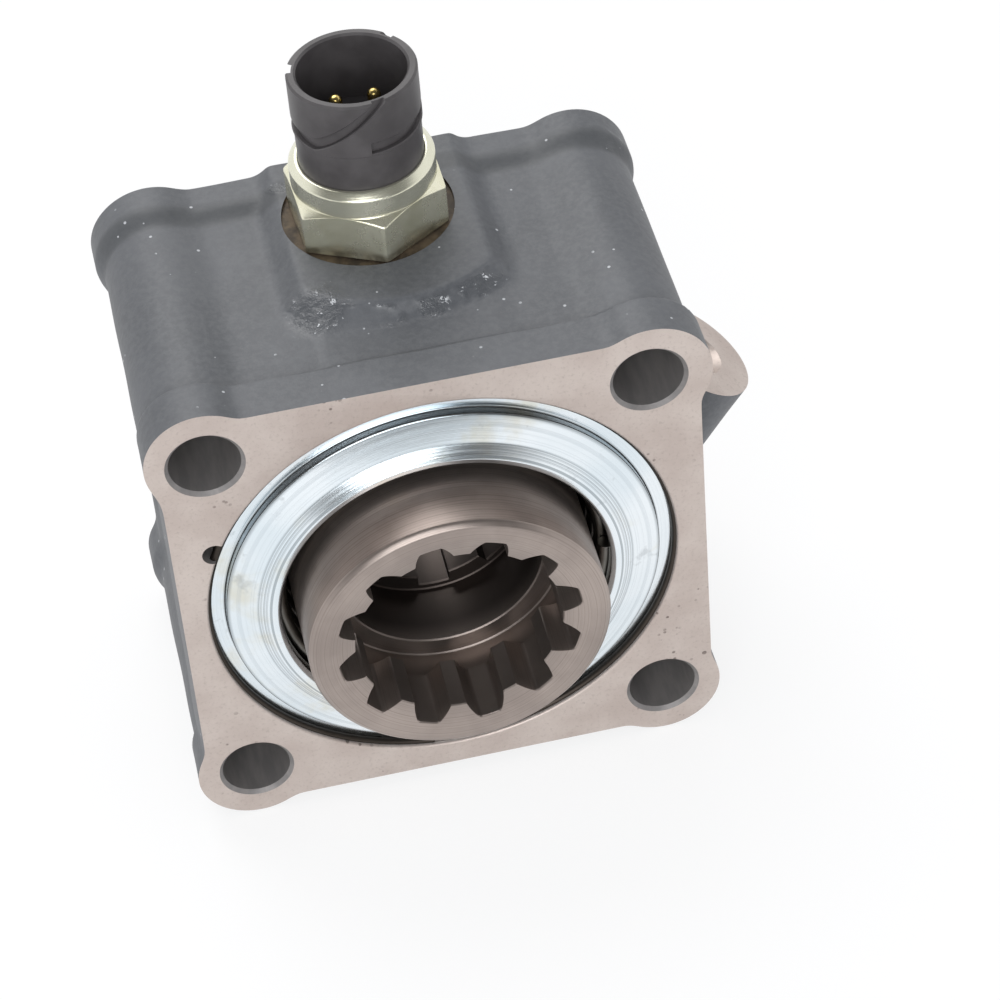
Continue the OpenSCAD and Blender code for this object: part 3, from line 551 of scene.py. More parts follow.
def plug(name, profile, material, matrix=None, segments=96):
    """A closed turned solid that starts and ends on its axis: a cutting tool. Its axis is Z before matrix."""
    points, faces = [(0, 0, profile[0][1])], []
    for r, h in profile[1:-1]:
        points += [(r * math.cos(a), r * math.sin(a), h)
                   for a in np.linspace(0, 2 * math.pi, segments, endpoint=False)]
    points.append((0, 0, profile[-1][1]))
    last = len(points) - 1
    rows = len(profile) - 2
    for k in range(segments):
        n = (k + 1) % segments
        faces.append((0, 1 + n, 1 + k))
        faces.append((last, 1 + (rows - 1) * segments + k, 1 + (rows - 1) * segments + n))
        for r in range(rows - 1):
            a, b = 1 + r * segments, 1 + (r + 1) * segments
            faces.append((a + k, a + n, b + n, b + k))
    points = np.array(points, float)
    if matrix is not None:
        points = points @ matrix[:, :3].T + matrix[:, 3]
    return mesh_object(name, points, faces, material)


print("mesh kit ready")

# %% [markdown]
# ## Machining the casting
# The real housing goes from the foundry to the machine shop, and this one does too: exact Boolean cuts face
# off both flanges, bore the cylinder, drill the holes and cut the switch seat and the port. Each tool
# carries its own material, which the cut surface keeps, so that bare metal shows exactly where a cutter has been.

# %% Cutting tools
BORE_R, BORE_CHAMFER = 44.0, 0.6
WALL_Y, WALL_T, HUB_Y, HUB_R, HUB_BORE_R = 52.0, 4.5, 37.6, 34.0, 31.0
PILOT_R = 40.0
BOLT_HOLE_R, BOLT_CHAMFER = 6.5, 0.7
WIRE_GROOVE_Y, WIRE_GROOVE_R, WIRE_R = 1.6, 0.86, 44.1
VENT_ANGLE, VENT_R, VENT_DEPTH = math.radians(156), 2.25, 5.0
SEAT_Z, SEAT_R, THREAD_R = 50.7, 16.0, 9.0
PORT_THREAD_R, PORT_THREAD_LEN, PORT_SINK_R, PORT_DRILL_R = 5.35, 14.0, 6.7, 2.5


def placed(origin, x_axis, y_axis, z_axis):
    """A tool's place: where its own X, Y, Z and origin go."""
    return np.stack([x_axis, y_axis, z_axis, origin], 1).astype(float)


def on_y(x=0.0, z=0.0):
    """A tool's axis laid along +Y at this x and z."""
    return placed((x, 0, z), (1, 0, 0), (0, 0, -1), (0, 1, 0))


def box_tool(name, low, high, material):
    corners = [(x, y, z) for x in (low[0], high[0]) for y in (low[1], high[1]) for z in (low[2], high[2])]
    faces = [(0, 1, 3, 2), (4, 6, 7, 5), (0, 4, 5, 1), (2, 3, 7, 6), (0, 2, 6, 4), (1, 5, 7, 3)]
    return mesh_object(name, corners, faces, material)


def cutting_tools():
    far = OVERCUT * 4
    groove = [(WIRE_R + WIRE_GROOVE_R * math.sin(a), WIRE_GROOVE_Y - WIRE_GROOVE_R * math.cos(a))
              for a in np.linspace(-0.11, math.pi + 0.11, 11)]
    edge = [(BORE_R + BORE_CHAMFER * (1 - math.sin(a)), BORE_CHAMFER * (1 - math.cos(a)))
            for a in np.linspace(0, math.pi / 2, 5)]
    bore = [(0, -far), (BORE_R + BORE_CHAMFER, -far)] + edge + groove
    bore += [(BORE_R, WALL_Y), (HUB_R, WALL_Y), (HUB_R, HUB_Y), (HUB_BORE_R, HUB_Y),
             (HUB_BORE_R, WALL_Y + WALL_T), (PILOT_R, WALL_Y + WALL_T),
             (PILOT_R, DEPTH - BORE_CHAMFER), (PILOT_R + BORE_CHAMFER, DEPTH), (PILOT_R + BORE_CHAMFER, DEPTH + far),
             (0, DEPTH + far)]
    tools = [
        box_tool("front_cut", (-70, -3 * far, -70), (80, 0, 70), MACHINED),
        box_tool("rear_cut", (-70, DEPTH, -70), (80, DEPTH + 3 * far, 70), MACHINED),
        plug("bore_cut", bore, MACHINED, on_y(), 240),
    ]
    hole = [(0, -far), (BOLT_HOLE_R + BOLT_CHAMFER, -far), (BOLT_HOLE_R + BOLT_CHAMFER, 0),
            (BOLT_HOLE_R, BOLT_CHAMFER), (BOLT_HOLE_R, DEPTH - BOLT_CHAMFER),
            (BOLT_HOLE_R + BOLT_CHAMFER, DEPTH), (BOLT_HOLE_R + BOLT_CHAMFER, DEPTH + far), (0, DEPTH + far)]
    for i, x in enumerate((-BOLT_C, BOLT_C)):
        for j, z in enumerate((-BOLT_C, BOLT_C)):
            tools.append(plug(f"bolt_cut_{i}{j}", hole, DRILLED, on_y(x, z), 72))
    vent = [(0, -far), (VENT_R, -far), (VENT_R, VENT_DEPTH), (0, VENT_DEPTH)]
    reach = BORE_R + 0.9
    tools.append(plug("vent_cut", vent, DRILLED, on_y(reach * math.cos(VENT_ANGLE), reach * math.sin(VENT_ANGLE)), 32))
    seat = [(0, SEAT_Z - 8.3), (THREAD_R, SEAT_Z - 8.3), (THREAD_R, SEAT_Z), (SEAT_R, SEAT_Z),
            (SEAT_R + 0.15, SEAT_Z + 5), (0, SEAT_Z + 5)]
    tools.append(plug("seat_cut", seat, SEAT,
                      placed((SWITCH_X, SWITCH_Y, 0), (1, 0, 0), (0, 1, 0), (0, 0, 1)), 120))
    sink = PORT_SINK_R - PORT_THREAD_R
    port = [(0, 10), (PORT_DRILL_R, 10), (PORT_DRILL_R, PORT_REACH - PORT_THREAD_LEN - 1),
            (PORT_THREAD_R, PORT_REACH - PORT_THREAD_LEN), (PORT_THREAD_R, PORT_REACH - sink),
            (PORT_SINK_R, PORT_REACH), (PORT_BOSS_R + 0.35, PORT_REACH), (PORT_BOSS_R + 0.35, PORT_REACH + far),
            (0, PORT_REACH + far)]
    tools.append(plug("port_cut", port, MACHINED, placed(port_foot, (0, 1, 0), port_side, port_axis), 96))
    return tools


def machine(casting, tools):
    """Cuts the tools out of the casting and deletes them."""
    shop = bpy.data.collections.new("tools")
    bpy.context.scene.collection.children.link(shop)
    for tool in tools:
        bpy.context.scene.collection.objects.unlink(tool)
        shop.objects.link(tool)
    cut = casting.modifiers.new("machining", "BOOLEAN")
    cut.operation = "DIFFERENCE"
    cut.operand_type = "COLLECTION"
    cut.collection = shop
    cut.solver = "EXACT"
    cut.material_mode = "TRANSFER"
    bpy.context.view_layer.update()
    done = bpy.data.meshes.new_from_object(casting.evaluated_get(bpy.context.evaluated_depsgraph_get()))
    casting.modifiers.clear()
    casting.data = done
    for tool in tools:
        bpy.data.objects.remove(tool)
    bpy.data.collections.remove(shop)
    return casting


# %% Cast and machine the housing
COARSE, FINE = ((0.85, 0.42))
cast_axes = [
    grid_axis(-55, (-23, COARSE), (-13, 1.4 * FINE), (13, COARSE), (24, 1.4 * FINE), (72, COARSE)),
    grid_axis(-4.2, (7.2, COARSE), (10.4, FINE), (16.5, COARSE), (30, 1.2 * FINE), (53.5, COARSE), (61, 1.4 * FINE),
              (69.3, COARSE)),
    grid_axis(-55, (46.5, COARSE), (52.6, FINE), (56, COARSE)),
]
skin_points, skin_quads = surface_net(casting_field, cast_axes)
skin_points = settle(skin_points, casting_field)
housing = mesh_object("cast_housing", skin_points, skin_quads, [PAINT])
housing = machine(housing, cutting_tools())
crisp(housing, 32)
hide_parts("housing")
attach(housing, "housing")
print("housing:", len(housing.data.polygons), "faces, materials", [m.name for m in housing.data.materials])

# %% [markdown]
# ## Finishes of the moving parts
# Four different processes show here. The retainer is zinc plated, so it is bright and bluish with a faint
# yellow passivation. The sleeve is hardened and ground steel, which turns a warm brownish grey under its oil.
# The wire ring and the two flat rings are blackened spring steel. The piston is plain turned aluminium. Turned
# parts get their lathe lines from the distance to the shaft axis or from the place along it.

# %% Finishes of the moving parts
def zinc_finish():
    f = Finish("zinc_plate", metal=1.0)
    radius = f.radius()
    cloud = f.noise(38, 3, 0.5)
    tint = f.noise(70, 4, 0.6)
    base = f.mix(f.band(cloud, 0.35, 0.65), srgb(222, 232, 238), srgb(238, 244, 248))
    base = f.mix(f.math("MULTIPLY", f.band(tint, 0.52, 0.72), 0.55), base, srgb(214, 208, 184))
    lines = f.rings(radius, 5.0, 3)
    streak = f.rings(radius, 1.1, 2)
    stain = f.math("MULTIPLY", f.band(f.noise(150, 4, 0.65), 0.6, 0.72), 0.35)
    base = f.mix(f.math("MULTIPLY", f.band(streak, 0.45, 0.7), 0.2), base, srgb(168, 180, 188))
    base = f.mix(stain, base, srgb(150, 156, 160))
    # The dish's inner slope is painted with darker rings, a painted reflection of its curve, and the foot of its wall
    # is painted darker as painted shade.
    slope = f.math("MULTIPLY", f.band(radius, 32.2, 32.8), f.band(radius, 35.5, 34.9))
    foot = f.math("MULTIPLY", f.band(radius, 39.9, 40.5), f.band(radius, 41.2, 40.9))
    painted_reflection_and_shade = f.math("ADD", f.math("MULTIPLY", slope, f.band(f.rings(radius, 2.2, 1), 0.42, 0.58)), foot)
    f.colour(f.mix(f.math("MULTIPLY", painted_reflection_and_shade, 0.5), base, srgb(118, 128, 134)))
    f.rough(f.math("ADD", f.math("MULTIPLY", f.band(streak, 0.3, 0.7), 0.1), 0.14))
    f.bump((lines, 0.007), (f.noise(300, 2), 0.012))
    return f.material


def sleeve_finish():
    f = Finish("sleeve_steel", metal=0.9)
    radius, along = f.radius(), f.along("Y")
    cloud = f.noise(55, 4, 0.6)
    face = f.rings(radius, 4.5, 3)
    side = f.rings(along, 2.6, 4)
    outside = f.band(radius, 27.0, 27.6)
    lines = f.math("ADD", f.math("MULTIPLY", face, f.math("SUBTRACT", 1.0, outside)),
                   f.math("MULTIPLY", side, outside))
    base = f.mix(f.band(cloud, 0.3, 0.7), srgb(150, 139, 133), srgb(172, 160, 153))
    base = f.mix(f.math("MULTIPLY", f.band(lines, 0.45, 0.7), 0.4), base, srgb(112, 103, 98))
    # Inside the bore the steel is painted a little darker, partly for its oil film and partly as painted shade.
    inside = f.math("MULTIPLY", f.band(radius, 23.6, 22.9), f.band(along, -13.9, -13.2))
    base = f.mix(f.math("MULTIPLY", inside, 0.5), base, srgb(150, 140, 134))
    # Deeper in, past the relief groove, the whole bore is painted near black: painted shade.
    painted_deep_shade = f.math("MULTIPLY", f.band(radius, 24.0, 23.4), f.band(along, 1.0, 9.0))
    base = f.mix(f.math("MULTIPLY", painted_deep_shade, 0.9), base, srgb(52, 46, 43))
    f.colour(base)
    f.rough(f.math("ADD", f.math("MULTIPLY", cloud, 0.16), 0.28))
    f.bump((lines, 0.012), (f.noise(420, 3), 0.02))
    return f.material


def plain_metal(name, colour, rough, metal=1.0, grain=0.03, scale=400):
    """A worked metal surface with a little cloud in its colour and gloss and a fine grain."""
    f = Finish(name, metal=metal)
    cloud = f.noise(scale / 6, 3, 0.6)
    darker = tuple(c * 0.72 for c in srgb(*colour))
    f.colour(f.mix(f.band(cloud, 0.3, 0.72), srgb(*colour), darker))
    f.rough(f.math("ADD", f.math("MULTIPLY", cloud, 0.16), rough - 0.08))
    f.bump((f.noise(scale, 3, 0.6), grain))
    return f.material


def turned_metal(name, colour, rough, per_mm=3.0, axis="Y"):
    """Turned metal, with tool lines along its length and across its faces."""
    f = Finish(name, metal=1.0)
    lines = f.math("ADD", f.rings(f.radius(), per_mm, 3), f.rings(f.along(axis), per_mm, 3))
    cloud = f.noise(60, 3, 0.6)
    darker = tuple(c * 0.75 for c in srgb(*colour))
    f.colour(f.mix(f.band(cloud, 0.3, 0.72), srgb(*colour), darker))
    f.rough(f.math("ADD", f.math("MULTIPLY", cloud, 0.14), rough - 0.07))
    f.bump((lines, 0.01))
    return f.material


def rubber_finish():
    f = Finish("seal_rubber", rough=0.48)
    skin = f.noise(700, 3, 0.6)
    f.colour(f.mix(f.band(skin, 0.4, 0.7), srgb(26, 26, 27), srgb(42, 42, 43)))
    f.bump((skin, 0.02))
    return f.material


ZINC = zinc_finish()
SLEEVE = sleeve_finish()
BLACKENED = plain_metal("dark_steel", (74, 68, 63), 0.42)
SPRING = plain_metal("spring_steel", (122, 119, 114), 0.34, scale=600)
ALLOY = turned_metal("piston_alloy", (190, 192, 195), 0.34)
RACE = turned_metal("bearing_steel", (196, 198, 200), 0.2, 6.0)
CAGE = plain_metal("cage_brass", (196, 158, 82), 0.36)
RUBBER = rubber_finish()
print("moving finishes:", ZINC.name, SLEEVE.name, BLACKENED.name, SPRING.name, ALLOY.name, RACE.name)

# %% [markdown]
# ## The coupling sleeve
# This is the part that needs the most skill: one steel tube with two different splines inside. The front one
# has twelve involute teeth, each flank unrolled from a base circle, and a lead-in cone that the gearbox shaft
# finds first. The rear one has eight straight-sided spaces for the pump shaft. Both are radial functions of
# the angle, so the tube is one closed grid whose cross-section changes from column to column. The columns
# crowd together on the flanks, where the radius changes fastest.

# %% Sleeve sizes and the two splines
NOSE_Y, TAIL_Y, SLEEVE_R = -14.5, 54.0, 28.0
DRIVE_TEETH, DRIVE_TIP_R, DRIVE_ROOT_R, DRIVE_END_Y = 12, 19.25, 22.75, -1.5
DRIVE_PITCH_R, DRIVE_SPACE, DRIVE_TURN = 21.0, 8.2, 10.0
LEAD_R, LEAD_DEPTH = 24.2, 1.35
RELIEF_R, RELIEF_END_Y, PUMP_START_Y = 23.0, 4.1, 18.0
PUMP_TEETH, PUMP_MINOR_R, PUMP_MAJOR_R, PUMP_HALF_W = 8, 16.0, 18.0, 3.0


def space_half(radius):
    """Half the angle of a space between two drive teeth, on their involute, in degrees."""
    def unrolled(a):
        return math.degrees(math.tan(a) - a)
    base = DRIVE_PITCH_R * math.cos(math.radians(30))
    return DRIVE_SPACE + unrolled(math.radians(30)) - unrolled(math.acos(min(base / radius, 1.0)))


flank_radii = np.linspace(DRIVE_TIP_R - 0.6, DRIVE_ROOT_R + 0.6, 40)
flank_halves = np.array([space_half(r) for r in flank_radii])


def drive_radius(angle):
    """Radius of the drive spline's opening at an angle in degrees."""
    pitch = 360 / DRIVE_TEETH
    off = abs((angle - DRIVE_TURN + pitch / 2) % pitch - pitch / 2)
    flank = np.interp(off, flank_halves[::-1], flank_radii[::-1])
    return float(blend_max(DRIVE_TIP_R, blend_min(DRIVE_ROOT_R, flank, 0.5), 0.4))


def pump_radius(angle):
    """Radius of the pump spline's opening at an angle in degrees."""
    pitch = 360 / PUMP_TEETH
    off = abs((angle + pitch / 2) % pitch - pitch / 2)
    flank = PUMP_HALF_W / max(math.sin(math.radians(off)), 0.05)
    return float(blend_max(PUMP_MINOR_R, blend_min(PUMP_MAJOR_R, flank, 0.3), 0.3))


print("a tooth space is", round(2 * space_half(DRIVE_PITCH_R), 2), "degrees wide on the pitch circle")


# %% Build the sleeve
def sleeve_angles():
    """Column angles, crowded on the flanks of both splines."""
    drive = [0, 2.4, 4.0, 4.6, 5.0, 5.4, 5.9, 6.6, 7.4, 8.2, 9.0, 9.6, 10.1, 10.5, 10.9, 11.5, 12.6, 14.0]
    pump = [9.0, 9.35, 9.6, 9.85, 10.2, 10.6, 10.9, 11.3]
    angles = {round((DRIVE_TURN + 360 / DRIVE_TEETH * k + s * a) % 360, 3)
              for k in range(DRIVE_TEETH) for a in drive for s in (-1, 1)}
    angles |= {round((360 / PUMP_TEETH * k + s * a) % 360, 3)
               for k in range(PUMP_TEETH) for a in pump for s in (-1, 1)}
    return sorted(angles)


def sleeve_profile(angle):
    """The sleeve's cut face at one angle, as [radius, y] points round it."""
    drive, pump = drive_radius(angle), pump_radius(angle)
    cone_y = NOSE_Y + LEAD_DEPTH * (LEAD_R - drive) / (LEAD_R - DRIVE_TIP_R)
    corners = [
        (LEAD_R, NOSE_Y), (drive, cone_y), (drive, DRIVE_END_Y), (RELIEF_R, DRIVE_END_Y),
        (RELIEF_R, RELIEF_END_Y), (DRIVE_TIP_R, RELIEF_END_Y), (DRIVE_TIP_R, PUMP_START_Y),
        (pump, PUMP_START_Y), (pump, TAIL_Y - 1), (PUMP_MAJOR_R + 0.05, TAIL_Y - 1), (PUMP_MAJOR_R + 1, TAIL_Y),
        (24.0, TAIL_Y), (25.0, TAIL_Y - 1), (25.0, 40.0), (27.5, 40.0), (27.5, 38.52), (26.0, 38.52),
        (26.0, 36.5), (27.5, 36.5), (27.5, 27.5), (SLEEVE_R, 27.5), (SLEEVE_R, NOSE_Y + 1), (SLEEVE_R - 1, NOSE_Y),
    ]
    return rounded(corners, 0.25, steps=1)


sleeve_columns = sleeve_angles()
sleeve = swept_ring("coupling_sleeve_steel", [sleeve_profile(a) for a in sleeve_columns],
                    np.radians(sleeve_columns), SLEEVE, sharp=30)
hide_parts("coupling_sleeve")
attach(sleeve, "sleeve")
print("sleeve:", len(sleeve.data.polygons), "faces from", len(sleeve_columns), "columns")

# %% [markdown]
# ## The spring retainer
# A turned and plated steel ring holds the return spring in. It is dished: its disc rises from the bore's edge
# to a small lip round the sleeve. A ring that is turned on a lathe in reality is turned here too, from its
# cut face. The small radius on every corner catches a thin line of light, which a sharp edge never does.

# %% Spring retainer
RETAINER = [(31.6, -2.7), (32.5, -2.7), (35.2, -1.3), (40.7, 0.3), (40.7, 2.2), (43.48, 2.2), (43.65, 2.37),
            (43.65, 6.1), (39.5, 6.1), (38.3, 2.9), (33.7, 0.5), (30.9, 0.5), (30.9, -1.8)]
retainer = turned("spring_retainer_plated", rounded(RETAINER, 0.45, 4), ZINC, segments=240)
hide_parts("spring_retainer")
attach(retainer, "housing")
print("retainer:", len(retainer.data.polygons), "faces")


# %% [markdown]
# ## A spring, a thread and bearing balls from Geometry Nodes
# A coil spring follows a rule: so many turns, a wire of one size, and ends where the turns close up until they touch.
# One node tree holds the rule, with its sizes as named inputs, and makes the return spring and the air port's thread
# ridge.
# The balls are one small sphere repeated round a circle. Each result becomes a plain mesh before it is used.

# %% Geometry Nodes kit
class Tree:
    """A Geometry Nodes tree with named inputs, in metres."""

    def __init__(self, name, sizes):
        self.tree = bpy.data.node_groups.new(name, "GeometryNodeTree")
        self.tree.interface.new_socket("Geometry", in_out="OUTPUT", socket_type="NodeSocketGeometry")
        for label, kind in sizes.items():
            self.tree.interface.new_socket(label, in_out="INPUT", socket_type=kind)
        self.sizes = self.tree.nodes.new("NodeGroupInput").outputs
        self.end = self.tree.nodes.new("NodeGroupOutput")

    def node(self, kind, settings=None, **inputs):
        made = self.tree.nodes.new(kind)
        for key, value in (settings or {}).items():
            setattr(made, key, value)
        for key, value in inputs.items():
            self.put(made.inputs[key.replace("_", " ")], value)
        return made

    def put(self, socket, value):
        if isinstance(value, bpy.types.NodeSocket):
            self.tree.links.new(value, socket)
        else:
            socket.default_value = value

    def math(self, operation, a, b=0.0, c=0.0):
        made = self.tree.nodes.new("ShaderNodeMath")
        made.operation = operation
        for socket, value in zip(made.inputs, (a, b, c)):
            self.put(socket, value)
        return made.outputs[0]

    def finish(self, geometry, material):
        solid = self.node("GeometryNodeRealizeInstances", Geometry=geometry)
        dressed = self.node("GeometryNodeSetMaterial", Geometry=solid.outputs[0], Material=material)
        self.tree.links.new(dressed.outputs[0], self.end.inputs[0])

    def make(self, name, **values):
        """Runs the tree once and returns its result as a plain mesh object."""
        holder = bpy.data.objects.new(name, bpy.data.meshes.new(name))
        bpy.context.scene.collection.objects.link(holder)
        run = holder.modifiers.new("nodes", "NODES")
        run.node_group = self.tree
        for item in self.tree.interface.items_tree:
            if item.in_out == "INPUT":
                run[item.identifier] = values[item.name.replace(" ", "_")]
        bpy.context.view_layer.update()
        done = bpy.data.meshes.new_from_object(holder.evaluated_get(bpy.context.evaluated_depsgraph_get()))
        holder.modifiers.clear()
        holder.data = done
        crisp(holder, 40)
        return holder


def coil_tree(name, material):
    """Wire wound about Z from height 0, with one closed turn at each end."""
    t = Tree(name, {"Wire": "NodeSocketFloat", "Mean radius": "NodeSocketFloat", "Length": "NodeSocketFloat",
                    "Live turns": "NodeSocketFloat", "Points": "NodeSocketInt"})
    wire, radius, length, live_turns, points = list(t.sizes)[:5]
    line = t.node("GeometryNodeCurvePrimitiveLine")
    line = t.node("GeometryNodeResampleCurve", Curve=line.outputs[0], Count=points)
    place = t.node("GeometryNodeSplineParameter").outputs["Factor"]
    turn = t.math("MULTIPLY", place, t.math("ADD", live_turns, 2.0))
    angle = t.math("MULTIPLY", turn, 2 * math.pi)
    closed = t.math("MULTIPLY", wire, 1.04)
    pitch = t.math("DIVIDE", t.math("SUBTRACT", t.math("SUBTRACT", length, wire), t.math("MULTIPLY", closed, 2.0)),
                   live_turns)
    first = t.math("MULTIPLY", closed, t.math("MINIMUM", turn, 1.0))
    middle = t.math("MAXIMUM", t.math("MINIMUM", t.math("SUBTRACT", turn, 1.0), live_turns), 0.0)
    last = t.math("MAXIMUM", t.math("SUBTRACT", t.math("SUBTRACT", turn, 1.0), live_turns), 0.0)
    rise = t.math("ADD", t.math("ADD", first, t.math("MULTIPLY", pitch, middle)), t.math("MULTIPLY", closed, last))
    rise = t.math("ADD", rise, t.math("MULTIPLY", wire, 0.5))
    x = t.math("MULTIPLY", radius, t.math("COSINE", angle))
    y = t.math("MULTIPLY", radius, t.math("SINE", angle))
    spot = t.node("ShaderNodeCombineXYZ", X=x, Y=y, Z=rise)
    wound = t.node("GeometryNodeSetPosition", Geometry=line.outputs[0], Position=spot.outputs[0])
    section = t.node("GeometryNodeCurvePrimitiveCircle", {"mode": "RADIUS"}, Resolution=14,
                     Radius=t.math("MULTIPLY", wire, 0.5))
    tube = t.node("GeometryNodeCurveToMesh", Curve=wound.outputs[0])
    t.tree.links.new(section.outputs[0], tube.inputs["Profile Curve"])
    tube.inputs["Fill Caps"].default_value = True
    t.finish(tube.outputs[0], material)
    return t


# %% The return spring and the air port's thread
def lay_along_y(obj, start):
    """Turns a piece made about Z so that its Z runs along +Y from a start in millimetres."""
    obj.data.transform(Matrix.Translation(Vector(start) * MM) @ Matrix.Rotation(math.radians(-90), 4, "X"))


SPRING_START, SPRING_END, STROKE = 0.51, 25.99, 9.0
coils = coil_tree("coil_spring", SPRING)
spring = coils.make("return_spring_wire", Wire=3 * MM, Mean_radius=30.7 * MM, Length=(SPRING_END - SPRING_START) * MM,
                    Live_turns=3.0, Points=300)
lay_along_y(spring, (0, SPRING_START, 0))
tidy_normals(spring)
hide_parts("return_spring")
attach(spring, "housing")
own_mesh(spring)

thread = coil_tree("port_thread_ridge", MACHINED).make(
    "port_thread", Wire=0.9 * MM, Mean_radius=(PORT_THREAD_R + 0.1) * MM, Length=(PORT_THREAD_LEN - 1.6) * MM,
    Live_turns=6.0, Points=260)
start = port_foot + port_axis * (PORT_REACH - PORT_THREAD_LEN + 0.3)
thread.data.transform(Matrix(np.vstack([placed(start * MM, (0, 1, 0), port_side, port_axis), [0, 0, 0, 1]])))
tidy_normals(thread)
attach(thread, "housing")
print("springs:", len(spring.data.polygons), "and", len(thread.data.polygons), "faces")


# %% The bearing's balls
def ball_tree():
    t = Tree("ball_row", {"Ball radius": "NodeSocketFloat", "Pitch radius": "NodeSocketFloat",
                          "Balls": "NodeSocketInt"})
    ball_r, pitch_r, count = list(t.sizes)[:3]
    circle = t.node("GeometryNodeMeshCircle", Vertices=count, Radius=pitch_r)
    ball = t.node("GeometryNodeMeshUVSphere", Segments=24, Rings=12, Radius=ball_r)
    row = t.node("GeometryNodeInstanceOnPoints", Points=circle.outputs[0], Instance=ball.outputs[0])
    t.finish(row.outputs[0], RACE)
    return t


balls = ball_tree().make("bearing_ball_row", Ball_radius=2.5 * MM, Pitch_radius=31.75 * MM, Balls=22)
lay_along_y(balls, (0, 32.0, 0))
tidy_normals(balls)
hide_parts("bearing_balls")
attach(balls, "ball_row")
print("balls:", len(balls.data.polygons), "faces")

# %% [markdown]
# ## The position switch
# The switch is a turned and milled steel body with yellowish zinc, a copper washer under it and a black
# plastic plug on top, swaged in by a rolled edge. Its hexagon is cut off by a thirty degree cone, which
# leaves the curved crown that every real hexagon has. Seen from above a hexagon is also only a radius that
# changes with the angle, so the same swept ring makes it.

# %% Switch finishes
def switch_finish():
    f = Finish("switch_zinc", metal=0.85)
    cloud = f.noise(110, 4, 0.6)
    height = f.along("Z")
    base = f.mix(f.band(cloud, 0.3, 0.7), srgb(222, 219, 190), srgb(238, 236, 214))
    collar = f.band(height, 60.3, 61.2)
    base = f.mix(f.math("MULTIPLY", collar, 0.6), base, srgb(222, 222, 206))
    # The hexagon's lowest part is painted dark brown, broken up by noise: a painted shadow where it meets the seat.
    painted_foot_shadow = f.math("MULTIPLY", f.band(height, 53.2, 51.9), f.band(f.noise(260, 3), 0.3, 0.6))
    f.colour(f.mix(f.math("MULTIPLY", painted_foot_shadow, 0.6), base, srgb(84, 70, 48)))
    f.rough(f.math("ADD", f.math("MULTIPLY", cloud, 0.2), 0.16))
    lines = f.rings(height, 3.5, 3)
    f.bump((f.math("MULTIPLY", lines, collar), 0.014), (f.noise(380, 3), 0.007))
    return f.material


def plastic_finish():
    f = Finish("connector_plastic", rough=0.46)
    cloud = f.noise(120, 3, 0.6)
    f.colour(f.mix(f.band(cloud, 0.3, 0.7), srgb(63, 60, 61), srgb(78, 75, 76)))
    f.rough(f.math("ADD", f.math("MULTIPLY", cloud, 0.14), 0.38))
    f.bump((f.noise(650, 3, 0.6), 0.02))
    return f.material


SWITCH = switch_finish()
PLASTIC = plastic_finish()
COPPER = plain_metal("washer_copper", (176, 118, 78), 0.4)
PIN = plain_metal("pin_brass", (214, 190, 120), 0.22)

# %% Switch body
HEX_Z, HEX_H, HEX_HALF, HEX_TURN = 51.7, 8.5, 13.5, -26.8
SKIRT_Z, SKIRT_R = 50.85, 12.9
COLLAR_Z, COLLAR_R, ROLL_Z, ROLL_TOP_Z, ROLL_R = 60.2, 13.4, 64.0, 65.2, 12.2
SWITCH_AXIS = (SWITCH_X, SWITCH_Y)


def hex_radius(angle):
    """Radius of the hexagon at an angle in degrees, with its corners a little worn."""
    off = (angle - HEX_TURN) % 60 - 30
    return float(blend_min(HEX_HALF / math.cos(math.radians(off)), 15.5, 0.25))


def switch_profile(angle):
    rim = hex_radius(angle)
    crown = COLLAR_Z - (rim - COLLAR_R) * math.tan(math.radians(30))
    corners = [(8.94, 44.4), (8.94, HEX_Z), (SKIRT_R, HEX_Z), (SKIRT_R, SKIRT_Z), (rim - 0.3, SKIRT_Z),
               (rim, SKIRT_Z + 0.3), (rim, crown),
               (COLLAR_R, COLLAR_Z), (COLLAR_R, ROLL_Z), (ROLL_R, ROLL_TOP_Z), (11.52, ROLL_TOP_Z), (11.52, COLLAR_Z),
               (6.2, COLLAR_Z), (6.2, 47.4), (2.56, 47.4), (2.56, 44.4)]
    return rounded(corners, 0.6, steps=3)


switch_angles = np.arange(0, 360, 1.5)
switch_body = swept_ring("switch_body_plated", [switch_profile(a) for a in switch_angles],
                         np.radians(switch_angles), SWITCH, "Z", SWITCH_AXIS, sharp=26)
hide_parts("switch_body")
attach(switch_body, "housing")
print("switch body:", len(switch_body.data.polygons), "faces")

# %% Plug connector with its bayonet grooves
NECK_R, NECK_Z, PLUG_R, MOUTH_Z, MOUTH_R, FLOOR_IN_Z = 11.5, 72.4, 11.8, 83.8, 10.0, 69.8
GROOVES, GROOVE_START, GROOVE_SWEEP, GROOVE_LEVEL = 3, 153.0, 144.0, 0.45
GROOVE_W, GROOVE_DEPTH = 2.3, 1.0


def groove_height(t):
    climb = max(t - GROOVE_LEVEL, 0) / (1 - GROOVE_LEVEL)
    return NECK_Z + GROOVE_W / 2 + 0.6 + (MOUTH_Z - NECK_Z + 0.5) * climb ** 1.25


